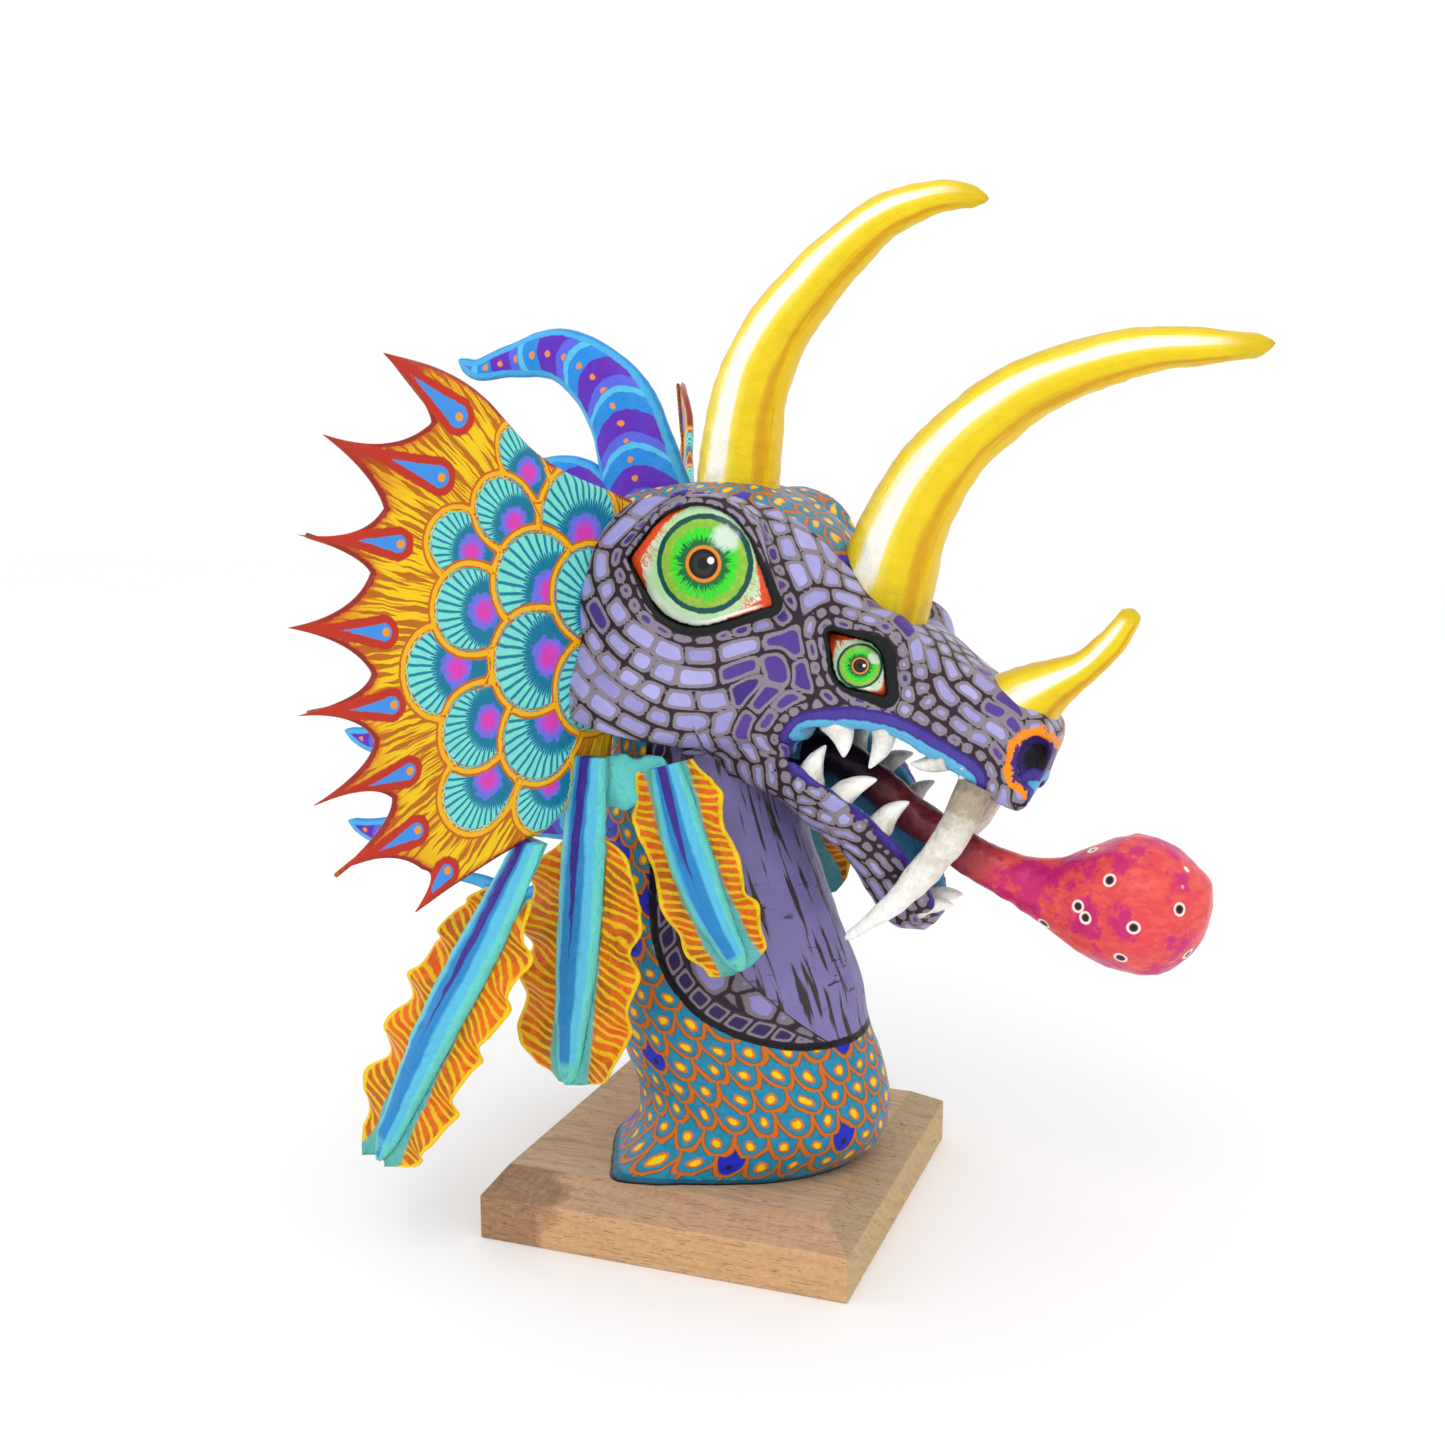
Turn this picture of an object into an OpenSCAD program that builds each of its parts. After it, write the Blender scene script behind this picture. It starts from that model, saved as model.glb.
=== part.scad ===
// Papier-mache dragon head on a wooden plinth.
// Frame: origin under the middle of the plinth, +X towards the snout, +Z up.
// The figure's own right side is at -Y.  All lengths are millimetres.

/* [Plinth] */
// Length of the plinth along the snout's direction
plinth_x = 180; // [160:1:220]
// Width of the plinth across
plinth_y = 188; // [170:1:220]
// Thickness of the plinth
plinth_z = 24.3; // [20:0.1:30]
// Width of the bevel along the long front edge
bevel_front = 30.3; // [10:0.1:35]
// Width of the bevel along the end under the snout
bevel_end = 18.9; // [10:0.1:30]

/* [Neck and post] */
// Wall of the neck, the skull and the jaw
wall = 4; // [3:0.1:5]
// Diameter of the dowel inside the neck
post_d = 16; // [12:0.5:20]
// Height of the dowel's top above the table
post_top = 318; // [290:1:325]
// Diameter of the wooden block inside the neck's foot
block_d = 62; // [50:1:70]
// Height of that block
block_h = 22; // [15:1:30]

/* [Face] */
// Diameter of the round part of a large eye's opening
eye_big_open = 53; // [50:0.5:56]
// Reach of the front corner of a large eye from its middle
eye_big_corner = 37; // [34:0.5:40]
// Width of a small eye's opening at its middle
eye_small_open = 22; // [19:0.5:24]
// Reach of both corners of a small eye from its middle
eye_small_corner = 19; // [17:0.5:21]

/* [Fans and lappets] */
// Thickness of the fan's card
card = 4; // [3:0.1:5]
// Angle between a fan and the straight back direction
fan_flare = 66; // [60:1:72]
// Height of the ruffles' waves
ruffle_wave = 5; // [2:0.5:7]

/* [Hidden] */

edge_side = 3.2;          // height lost at the outer edge of the plinth's bevels
screw_d = 4;              // shank of a foot screw
screw_head_d = 8.4;       // its countersunk head
screw_head_h = 3.4;
screw_len = 38;
screw_x = 20;             // place of the screws each side of the dowel
post_x = -8;              // the dowel stands a little behind the middle
fit_gap = 0.3;            // paste gap between a piece and its socket

eye_wall = 3;             // wall of an eye's dome
lid = 4;                  // wall of the lids round an eye
// Eyes: middle of the ball, its radius, tilt of the opening, depth of the lids, and 1 for a second
// corner at the back.
EYE_BIG = [[14, -20, 318], 58, 25, 32, 0];
EYE_SMALL = [[78, -24, 275], 24, 45, 14, 1];
eye_tip = 1.2;            // rounding of an eye's corners

// Neck: height, rear end, front end, half width and turn of each oval section.
NECK = [
    [plinth_z, -58, 67, 51, 14], [38, -45, 80, 52, 10], [54, -42, 83, 52, 8],
    [74, -51, 78, 51, 6], [96, -61, 70, 50, 4], [118, -66, 65, 48, 2],
    [148, -69, 54, 47, 0], [176, -69, 42, 48, 0], [204, -67, 33, 51, 0],
    [226, -62, 28, 55, 0], [244, -56, 24, 58, 0]
];

// Skull and upper jaw: place along X, underside, top, half width.
SKULL = [
    [-68, 268, 314, 26], [-64, 250, 330, 48], [-56, 238, 341, 62], [-40, 230, 349, 72],
    [-16, 227, 353, 76], [10, 228, 354, 75], [32, 232, 347, 69], [52, 238, 334, 59],
    [70, 243.5, 312, 50], [88, 241, 294, 43], [106, 232.5, 285, 38], [124, 221, 271, 34],
    [140, 211.5, 261, 30], [152, 209, 254, 26], [160, 213, 246, 18], [165, 221, 238, 10]
];

// Lower jaw: place of the underside line, half width and depth of each section.
JAW = [
    [7.2, 217.2, 54, 50], [19, 211.8, 50, 45], [33, 205.6, 47, 37.4], [46.8, 196.7, 43, 34.8],
    [59.2, 186.3, 38, 35.5], [68, 175.4, 32, 37.4], [74.6, 162.4, 26, 40], [81.3, 152.3, 20, 37.4],
    [89.6, 146.3, 15, 29.7], [100.2, 145.2, 8, 12.9]
];
jaw_slant = 47;           // the jaw hangs open by this angle

// Horns on the midline: place along X, height, radius.
HORN_CROWN = [
    [4, 346, 19.5], [10, 389, 17.6], [23, 420, 15.2], [47, 448, 12.6],
    [72, 469, 9.8], [99, 478, 6.6], [121, 476, 2.5]
];
HORN_BROW = [
    [76, 300, 23.5], [87, 336, 19.5], [106, 366, 16.5], [131, 388, 14.5],
    [159, 402, 12], [192, 410, 9.6], [230, 411, 5.5], [243, 412, 2.5]
];
HORN_NOSE = [
    [138, 250, 20], [147, 258, 15.5], [156.5, 264.5, 11], [169, 272, 7.2],
    [179, 282, 6.2], [187, 293, 4.8], [190, 299, 3.2]
];

// First crest spine: place along X, height, radius in the midplane.
SPINE = [
    [-40, 346, 22.5], [-51, 380, 19], [-64, 400, 16.5], [-86, 413, 12.5],
    [-112, 411, 8], [-131, 407, 5], [-142, 412, 2]
];
// The lower spines: root, middle and tip as [X, Z], the root's radius, how full the end is.
SPINES = [
    [[-58.3, 316.2], [-92, 351], [-166, 344], 20, 0.3],
    [[-66, 282], [-126, 306], [-200, 299], 17, 0.35],
    [[-62, 232], [-136, 236], [-216, 221], 15, 0.55],
    [[-60, 186], [-134, 180], [-216, 172], 13, 0.6],
    [[-58, 144], [-112, 137], [-158, 148], 11, 0.4]
];
spine_flat = 0.42;        // a spine's thickness over its height

TONGUE = [
    [40, 226, 9], [74, 213, 8.5], [92, 200, 8.5], [115, 186, 9], [138, 174, 10.5],
    [158, 168, 16], [176, 166, 25], [196, 166, 31], [213, 167, 27], [225, 168, 15],
    [229.5, 168, 5]
];
wire_d = 3;               // wire inside the tongue
TUSK = [[128, -27, 219, 8], [116, -33, 194, 7.4], [95, -36, 168, 5.6], [71, -37, 147, 1.5]];

// Fan outline in its own plane: distance from the root line, height.
FAN_TIPS = [
    [119, 406], [149, 374], [160, 336], [167, 300.5], [164.5, 266], [158, 229],
    [145.5, 200.5], [112, 176]
];
FAN_VALLEYS = [
    [97, 379], [120, 345], [127, 319.5], [130.5, 279.5], [130.5, 252], [120.5, 226],
    [106.5, 193]
];
// Upper edge of the fan from its root to the first tip.
FAN_TOP = [
    [-20, 343], [4, 351], [26, 358.5], [43, 367], [58, 378.5], [70, 389], [82, 396.5], [97, 402]
];
fan_hub = [-6, 284];      // point from which the spikes spread
spike_hollow = 11;        // how far the sides of the spikes are pulled towards the hub
fan_root_low = [2, 226];
fan_bottom = [40, 200];
fan_at = [-38, -52];      // foot of the fan's root line, [X, Y]
rib_d = 1.6;              // wires on the back of a fan

// Right lappets: middle line from the root to the tip, then the ruffle's half width,
// the ridge's half width and the height at which the ruffle starts.
LAPPETS = [
    [[[-57, -97, 197], [-68, -114, 162], [-88, -127, 118], [-116, -137, 54]], 26, 11, 0.16],
    [[[-40, -70, 231], [-41, -76, 189], [-42, -84, 134], [-45, -90, 81]], 30, 11, 0.24],
    [[[-4, -70, 229], [7, -71, 192], [18, -71, 165], [33, -70, 138]], 20, 10, 0.05]
];
lappet_card = 2.4;        // thickness of a ruffle
ridge_h = 9;              // height of a ridge above its ruffle
RUFFLE_STEPS = 22;
RIDGE_STEPS = 12;
ruffle_waves = 6;

// Teeth of the right side: root, tip, root diameter.
TEETH_UPPER = [
    [[66.2, -42, 249.5], [70.5, -42, 232.7], 12], [[87.3, -37, 247.3], [80.7, -37, 227.2], 11],
    [[114, -31, 233], [98.5, -31, 229.2], 9], [[122, -29, 230], [121.5, -29, 221], 7]
];
TEETH_LOWER = [
    [[53.5, -38.5, 218.3], [61.1, -38.5, 236.6], 10.5], [[66.1, -34.5, 211.9], [83.8, -34.5, 221.8], 10],
    [[83, -27, 197.7], [96.7, -27, 210.6], 10.5], [[95, -18, 172], [107, -18, 180], 8.5],
    [[99, -9, 156], [115, -10, 160], 8.5]
];

// ---- curve helpers ----

// Point of a smooth curve through the rows P at parameter t, from 0 to len(P) - 1.
function curve(P, t) =
    let (i = min(floor(t), len(P) - 2), f = t - i)
    let (a = P[max(i - 1, 0)], b = P[i], c = P[i + 1], d = P[min(i + 2, len(P) - 1)])
    0.5 * (2 * b + (c - a) * f + (2 * a - 5 * b + 4 * c - d) * f * f
        + (3 * b - a - 3 * c + d) * f * f * f);

// n rows spread evenly over the parameter of that curve.
function spread(P, n) = [for (i = [0:n - 1]) curve(P, i * (len(P) - 1) / (n - 1))];

function unit(v) = v / norm(v);

// Direction of a list of points at its i-th point.
function heading(C, i) = unit(C[min(i + 1, len(C) - 1)] - C[max(i - 1, 0)]);

// Solid through a list of rings that have the same number of points.
module loft(rings) {
    n = len(rings[0]);
    m = len(rings);
    points = [for (r = rings) each r];
    sides = [
        for (i = [0:m - 2]) for (j = [0:n - 1])
        let (a = i * n + j, b = i * n + (j + 1) % n)
        each [[a, b + n, b], [a, a + n, b + n]]
    ];
    ends = [[for (j = [0:n - 1]) j], [for (j = [n - 1:-1:0]) (m - 1) * n + j]];
    polyhedron(points, concat(sides, ends));
}

// Shell pieces are moulded in one skin: their facets stay as they are.
module moulded() {
    resize([0, 0, 0])
    children();
}

// Rings across a path in 3-D: C its points, S its [width, height] radii, side its width direction.
function tube_rings(C, S, side, n) = [
    for (i = [0:len(C) - 1])
    let (h = heading(C, i), w = unit(side - h * (side * h)), u = cross(h, w))
    [for (k = [0:n - 1]) C[i] + w * S[i][0] * cos(k * 360 / n) + u * S[i][1] * sin(k * 360 / n)]
];

// A horn or spine in the midplane, from rows of [X, Z, radius].
module midplane_horn(P, flat, steps, n) {
    Q = spread(P, steps);
    C = [for (q = Q) [q[0], 0, q[1]]];
    S = [for (q = Q) [q[2] * flat, q[2]]];
    loft(tube_rings(C, S, [0, 1, 0], n));
}

// Superellipse ring in a plane of constant X; boxy below 1 squares its corners.
function cross_ring(x, low, top, half, boxy, n) = [
    for (k = [0:n - 1])
    let (a = k * 360 / n, c = cos(a), s = sin(a), mid = (low + top) / 2, tall = (top - low) / 2)
    [x, half * sign(c) * pow(abs(c), boxy), mid + tall * sign(s) * pow(abs(s), boxy)]
];

// ---- inside pieces and plinth ----

module screw_places() {
    for (s = [-1, 1])
        translate([post_x + s * screw_x, 0, 0])
            children();
}

module plinth() {
    color("burlywood")
    difference() {
        translate([-plinth_x / 2, -plinth_y / 2, 0])
            cube([plinth_x, plinth_y, plinth_z]);
        bevel(plinth_y / 2, bevel_front, 0, plinth_x);
        bevel(plinth_x / 2, bevel_end, 90, plinth_y);
        screw_places() {
            translate([0, 0, -1])
                cylinder(d = screw_d, h = plinth_z + 2, $fn = 32);
            translate([0, 0, -0.01])
                cylinder(d1 = screw_head_d, d2 = screw_d, h = screw_head_h, $fn = 32);
        }
    }
}

// Wedge cut off the plinth's upper edge at the given distance from its middle.
module bevel(reach, width, turn, length) {
    rotate([0, 0, turn])
        translate([-length, -reach, 0])
            rotate([90, 0, 90])
                linear_extrude(2 * length)
                    polygon([
                        [-1, plinth_z - edge_side], [0, plinth_z - edge_side],
                        [width, plinth_z], [width, plinth_z + 1], [-1, plinth_z + 1]
                    ]);
}

module foot_block() {
    color("tan")
    difference() {
        translate([post_x, 0, plinth_z])
            cylinder(d = block_d, h = block_h, $fn = 64);
        translate([post_x, 0, plinth_z - 1])
            cylinder(d = post_d, h = block_h + 2, $fn = 48);
        screw_places()
            cylinder(d = screw_d, h = screw_len, $fn = 32);
    }
}

module foot_screws() {
    color("silver")
    screw_places() {
        cylinder(d1 = screw_head_d, d2 = screw_d, h = screw_head_h, $fn = 32);
        cylinder(d = screw_d, h = screw_len, $fn = 32);
    }
}

module neck_post() {
    color("wheat")
    translate([post_x, 0, plinth_z])
        cylinder(d = post_d, h = post_top - plinth_z, $fn = 48);
}

// ---- neck, skull and jaw ----

// Closed solid of the neck, drawn in by the given amount.
module neck_solid(inset, low, top) {
    Q = spread(NECK, 17);
    loft([
        for (i = [0:len(Q) - 1])
        let (q = Q[i], z = i == 0 ? low : (i == len(Q) - 1 ? top : q[0]))
        let (mid = (q[1] + q[2]) / 2, half = (q[2] - q[1]) / 2 - inset, wide = q[3] - inset)
        [
            for (k = [0:31])
            let (a = k * 360 / 32, x = half * cos(a), y = wide * sin(a))
            [mid + x * cos(q[4]) - y * sin(q[4]), x * sin(q[4]) + y * cos(q[4]), z]
        ]
    ]);
}

module skull_solid(inset) {
    Q = spread(SKULL, 29);
    loft([
        for (i = [0:len(Q) - 1])
        let (q = Q[i], x = q[0] + inset * (1 - 2 * i / (len(Q) - 1)))
        cross_ring(x, q[1] + inset, q[2] - inset, max(q[3] - inset, 2), 0.78, 32)
    ]);
}

module jaw_solid(inset, lift) {
    Q = spread(JAW, 13);
    C = [for (q = Q) [q[0] + q[3] / 2 * sin(jaw_slant), 0, q[1] + q[3] / 2 * cos(jaw_slant)]];
    loft([
        for (i = [0:len(Q) - 1])
        [
            for (k = [0:23])
            let (a = k * 15, s = sin(a), flat_top = s > 0 ? 0.55 : 1)
            C[i] + [0, (Q[i][2] - inset) * cos(a), 0]
                + [sin(jaw_slant), 0, cos(jaw_slant)] * ((Q[i][3] / 2 - inset) * s * flat_top + lift)
        ]
    ]);
}

// Room of the open mouth inside the upper jaw.
module mouth_room() {
    M = [[52, 234, 44, 10], [80, 236, 34, 10], [108, 227, 27, 8], [146, 212, 19, 6]];
    for (i = [0:len(M) - 2])
        hull()
            for (m = [M[i], M[i + 1]])
                translate([m[0], 0, m[1]])
                    scale([0.3, 1, 0.5 * m[3] / 10])
                        sphere(r = m[2] - wall, $fn = 16);
}

// Outline of a right eye's opening, widened by the given amount; a small eye has two corners.
module eye_outline(e, corner, open, more) {
    for (side = e[4] == 1 ? [-1, 1] : [1])
        hull() {
            circle(r = open / 2 + more, $fn = 48);
            translate([side * (corner - eye_tip), 0])
                circle(r = eye_tip + more, $fn = 12);
        }
}

module eye_prism(e, corner, open, more) {
    translate([e[0][0], e[0][1] - e[1] - 10, e[0][2]])
        rotate([0, e[2], 0])
            rotate([-90, 0, 0])
                linear_extrude(e[3] + 10)
                    eye_outline(e, corner, open, more);
}

// Part of an eyeball of the given radius inside that prism.
module eye_part(e, corner, open, more, radius) {
    intersection() {
        translate(e[0])
            sphere(r = radius, $fn = 64);
        eye_prism(e, corner, open, more);
    }
}

// Lids that stand out of the skull round the right eyes.
module lids() {
    eye_part(EYE_BIG, eye_big_corner, eye_big_open, lid, EYE_BIG[1] + 2);
    eye_part(EYE_SMALL, eye_small_corner, eye_small_open, lid - 1, EYE_SMALL[1] + 1.5);
}

// Openings in which the right eyes sit, with a paste gap.
module eye_openings() {
    eye_prism(EYE_BIG, eye_big_corner, eye_big_open, fit_gap);
    eye_prism(EYE_SMALL, eye_small_corner, eye_small_open, fit_gap);
}

module crown_horn() midplane_horn(HORN_CROWN, 1, 15, 18);
module brow_horn() midplane_horn(HORN_BROW, 1, 17, 18);
module nose_horn() midplane_horn(HORN_NOSE, 1, 10, 16);
module first_spine() midplane_horn(SPINE, spine_flat, 15, 14);

module lower_spine(i) {
    s = SPINES[i - 2];
    r = s[3];
    rows = [
        [s[0][0], s[0][1], r], (([each s[0], r] + [each s[1], r]) / 2) + [-4, 3, -2],
        [s[1][0], s[1][1], r * 0.66], [s[2][0] + 22, s[2][1] - 2, r * s[4]], [s[2][0], s[2][1], 2]
    ];
    midplane_horn(rows, spine_flat, 12, 12);
}

module head() {
    color("mediumpurple")
    moulded()
    difference() {
        union() {
            skull_solid(0);
            lids();
            left() lids();
        }
        difference() {
            skull_solid(wall);
            translate([58, -60, 200])
                cube([130, 120, 120]);
        }
        mouth_room();
        eye_openings();
        left() eye_openings();
        crown_horn();
        brow_horn();
        nose_horn();
        first_spine();
        for (i = [2, 3])
            lower_spine(i);
        translate([post_x, 0, 200])
            cylinder(d = post_d + 2 * fit_gap, h = 60, $fn = 24);
        for (s = [0, 1])
            mirror([0, s, 0])
                tusk();
    }
}

module neck() {
    color("teal")
    moulded()
    difference() {
        neck_solid(0, plinth_z, 246);
        neck_solid(wall, plinth_z - 1, 247);
        skull_solid(0);
        jaw_solid(0, 0);
        tongue_wire_body();
        for (i = [4:6])
            lower_spine(i);
    }
}

module lower_jaw() {
    color("mediumpurple")
    moulded()
    difference() {
        jaw_solid(0, 0);
        jaw_solid(wall + 1, wall + 3);
        skull_solid(0);
        tongue_body();
        tongue_wire_body();
    }
}

// ---- tongue, horns and spines ----

module tongue_body() midplane_horn(TONGUE, 1, 26, 16);

module tongue_wire_body() {
    inner = [for (i = [1:7]) [TONGUE[i][0], TONGUE[i][1]]];
    W = [for (q = spread(concat([[post_x + post_d / 2, 226]], inner), 14)) [q[0], 0, q[1]]];
    loft(tube_rings(W, [for (p = W) [wire_d / 2, wire_d / 2]], [0, 1, 0], 8));
}

module tongue() {
    color("crimson")
    moulded()
    difference() {
        tongue_body();
        skull_solid(0);
        tongue_wire_body();
    }
}

module tongue_wire() {
    color("gray")
    tongue_wire_body();
}

module horn_crown() {
    color("gold")
    crown_horn();
}

module horn_brow() {
    color("gold")
    brow_horn();
}

module horn_nose() {
    color("gold")
    nose_horn();
}

module crest_spine(i) {
    color("royalblue")
    if (i == 1)
        first_spine();
    else
        lower_spine(i);
}

// ---- fans ----

// Hollow side of a spike between a tip and a valley.
function hollow_side(a, b, valley) = [
    for (k = [1:5])
    let (t = k / 6, mid = (a + b) / 2 - unit(valley - fan_hub) * spike_hollow)
    a * (1 - t) * (1 - t) + mid * 2 * t * (1 - t) + b * t * t
];

function fan_outline() = concat(
    [fan_root_low], FAN_TOP,
    [for (i = [0:len(FAN_TIPS) - 2])
        let (v = FAN_VALLEYS[i])
        each concat(
            [FAN_TIPS[i]], hollow_side(FAN_TIPS[i], v, v),
            [v], hollow_side(v, FAN_TIPS[i + 1], v)
        )],
    [FAN_TIPS[7], fan_bottom]
);

// Puts what is drawn in the fan's own plane in its place at the right side.
module in_fan_plane(depth) {
    translate([fan_at[0], fan_at[1], 0])
        rotate([0, 0, 180 + fan_flare])
            rotate([90, 0, 0])
                translate([0, 0, depth])
                    children();
}

module fan() {
    color("orangered")
    moulded()
    difference() {
        in_fan_plane(-card / 2)
            linear_extrude(card)
                polygon(fan_outline());
        skull_solid(0);
        for (i = [2, 3])
            lower_spine(i);
    }
}

// Four wires on the back of a fan, from its root to every second spike.
module fan_wires() {
    color("dimgray")
    in_fan_plane(card / 2 + rib_d / 2)
        for (i = [0:2:6])
            let (a = [38, 285 + (FAN_TIPS[i][1] - 300) * 0.35], b = FAN_TIPS[i] - [4, 0], d = b - a)
                translate([a[0], a[1], 0])
                    rotate([0, 0, atan2(d[1], d[0])])
                        rotate([0, 90, 0])
                            cylinder(d = rib_d, h = norm(d) + (i == 6 ? 7 : 0), $fn = 16);
}

// ---- lappets ----

// The direction in which the i-th lappet faces.
function lappet_face(i) = unit([[-0.35, -1, 0], [-0.12, -1, 0.05], [0.1, -1, 0.1]][i]);

// Half width of a ruffle along its length: it opens, stays wide and closes round the tip.
function ruffle_width(t, start, half, ridge) =
    t < start ? ridge * 0.8 : ridge * 0.8 + (half - ridge * 0.8)
        * pow(min((t - start) / 0.16, 1), 0.6) * pow(max(1 - pow(t, 9), 0.12), 0.5);

module ruffle(i) {
    L = LAPPETS[i];
    C = spread(L[0], RUFFLE_STEPS);
    face = lappet_face(i);
    across = [-1, -0.72, -0.4, 0.4, 0.72, 1];
    grid = [
        for (side = [0, 1]) [
            for (k = [0:RUFFLE_STEPS - 1])
            let (t = k / (RUFFLE_STEPS - 1), h = heading(C, k), w = unit(cross(h, face)))
            let (half = ruffle_width(t, L[3], L[1], L[2]))
            [
                for (a = across)
                let (open = max(abs(a) - 0.4, 0) / 0.6 * (t < L[3] ? 0 : 1))
                C[k] + w * a * half - face * lappet_card * side
                    + face * open * ruffle_wave * sin(360 * ruffle_waves * t + 90 * sign(a))
            ]
        ]
    ];
    loft([
        for (k = [0:RUFFLE_STEPS - 1])
        concat(grid[0][k], [for (j = [len(across) - 1:-1:0]) grid[1][k][j]])
    ]);
}

module ridge(i) {
    L = LAPPETS[i];
    C = spread(L[0], RUFFLE_STEPS);
    face = lappet_face(i);
    loft([
        for (k = [0:RIDGE_STEPS - 1])
        let (j = round(k * (RUFFLE_STEPS - 1) / (RIDGE_STEPS - 1)))
        let (t = j / (RUFFLE_STEPS - 1), h = heading(C, j), w = unit(cross(h, face)))
        let (r = L[2] * (0.72 + 0.28 * sin(180 * min(t * 1.2, 1))) * sqrt(max(1 - pow(t, 8), 0.06)))
        let (up = ridge_h * sqrt(max(1 - pow(t, 8), 0.06)))
        [for (s = [0:6]) C[j] + face * 0.05 + w * r * cos(180 - s * 30) + face * up * sin(s * 30)]
    ]);
}

module lappet_ruffle(i) {
    color("orange")
    moulded()
    difference() {
        ruffle(i - 1);
        skull_solid(0);
        in_fan_plane(-card / 2)
            linear_extrude(card)
                polygon(fan_outline());
        if (i == 3)
            ruffle(1);
    }
}

module lappet_ridge(i) {
    color("turquoise")
    moulded()
    difference() {
        ridge(i - 1);
        skull_solid(0);
        in_fan_plane(-card / 2)
            linear_extrude(card)
                polygon(fan_outline());
    }
}

// Strip between the second and third lappets, close under the cheek.
module lappet_band() {
    color("mediumaquamarine")
    moulded()
    difference() {
        hull()
            for (p = [[-34, -69, 219], [-8, -69, 219]])
                translate(p)
                    scale([1, 0.4, 1.7])
                        sphere(r = 7, $fn = 10);
        skull_solid(0);
        for (i = [1, 2]) {
            ruffle(i);
            ridge(i);
        }
    }
}

// ---- eyes, tusks and teeth ----

// Eyes: domes of hollow balls, cut to the openings between their lids.
module eye_dome(e, corner, open) {
    color("limegreen")
    moulded()
    difference() {
        eye_part(e, corner, open, 0, e[1]);
        translate(e[0])
            sphere(r = e[1] - eye_wall, $fn = 64);
    }
}

module eye_big() eye_dome(EYE_BIG, eye_big_corner, eye_big_open);
module eye_small() eye_dome(EYE_SMALL, eye_small_corner, eye_small_open);

module tusk() {
    color("ivory")
    let (Q = spread(TUSK, 11))
        loft(tube_rings([for (q = Q) [q[0], q[1], q[2]]], [for (q = Q) [q[3], q[3]]], [0, 1, 0], 12));
}

// A tooth from its root to its tip, with a rounded point.
module tooth(root, tip, d) {
    v = tip - root;
    translate(root)
        rotate([0, acos(v[2] / norm(v)), atan2(v[1], v[0])])
            cylinder(d1 = d, d2 = d * 0.18, h = norm(v), $fn = 24);
}

module teeth_upper() {
    color("ivory")
    for (t = TEETH_UPPER)
        tooth(t[0], t[1], t[2]);
}

module teeth_lower() {
    color("ivory")
    for (t = TEETH_LOWER)
        tooth(t[0], t[1], t[2]);
}

module left() {
    mirror([0, 1, 0])
        children();
}

plinth();
foot_block();
foot_screws();
neck_post();
neck();
head();
lower_jaw();
tongue();
tongue_wire();
horn_crown();
horn_brow();
horn_nose();
crest_spine(1);  // crest_spine_1
crest_spine(2);  // crest_spine_2
crest_spine(3);  // crest_spine_3
crest_spine(4);  // crest_spine_4
crest_spine(5);  // crest_spine_5
crest_spine(6);  // crest_spine_6
fan();  // frill_right
left() fan();  // frill_left
fan_wires();  // frill_wires_right
left() fan_wires();  // frill_wires_left
lappet_ruffle(1);  // lappet_right_1_ruffle
lappet_ridge(1);  // lappet_right_1_ridge
lappet_ruffle(2);  // lappet_right_2_ruffle
lappet_ridge(2);  // lappet_right_2_ridge
lappet_ruffle(3);  // lappet_right_3_ruffle
lappet_ridge(3);  // lappet_right_3_ridge
left() lappet_ruffle(1);  // lappet_left_1_ruffle
left() lappet_ridge(1);  // lappet_left_1_ridge
left() lappet_ruffle(2);  // lappet_left_2_ruffle
left() lappet_ridge(2);  // lappet_left_2_ridge
left() lappet_ruffle(3);  // lappet_left_3_ruffle
left() lappet_ridge(3);  // lappet_left_3_ridge
lappet_band();  // lappet_band_right
left() lappet_band();  // lappet_band_left
eye_big();  // eye_big_right
left() eye_big();  // eye_big_left
eye_small();  // eye_small_right
left() eye_small();  // eye_small_left
tusk();  // tusk_right
left() tusk();  // tusk_left
teeth_upper();  // teeth_upper_right
left() teeth_upper();  // teeth_upper_left
teeth_lower();  // teeth_lower_right
left() teeth_lower();  // teeth_lower_left
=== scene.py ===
# Dragon-head alebrije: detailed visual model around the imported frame.
import bpy, math
import numpy as np
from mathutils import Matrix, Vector
from mathutils.geometry import delaunay_2d_cdt
from mathutils.kdtree import KDTree


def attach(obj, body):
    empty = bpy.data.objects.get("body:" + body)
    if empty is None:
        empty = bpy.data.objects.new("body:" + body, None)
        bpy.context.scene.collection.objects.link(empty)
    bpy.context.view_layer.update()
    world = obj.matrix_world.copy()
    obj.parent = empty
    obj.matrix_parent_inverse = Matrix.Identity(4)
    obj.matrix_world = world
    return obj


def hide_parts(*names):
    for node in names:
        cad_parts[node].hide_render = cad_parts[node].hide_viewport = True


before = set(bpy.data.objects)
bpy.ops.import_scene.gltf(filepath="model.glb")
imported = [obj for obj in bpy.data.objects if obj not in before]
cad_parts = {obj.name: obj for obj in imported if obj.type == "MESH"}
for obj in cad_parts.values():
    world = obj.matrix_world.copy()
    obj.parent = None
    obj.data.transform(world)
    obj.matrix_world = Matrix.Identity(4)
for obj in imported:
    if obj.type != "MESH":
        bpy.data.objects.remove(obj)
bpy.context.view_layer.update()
MM = 0.001
RIGHT, LEFT = 1, -1            # the figure's right side is at -Y
SIDES = {RIGHT: "right", LEFT: "left"}

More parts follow.
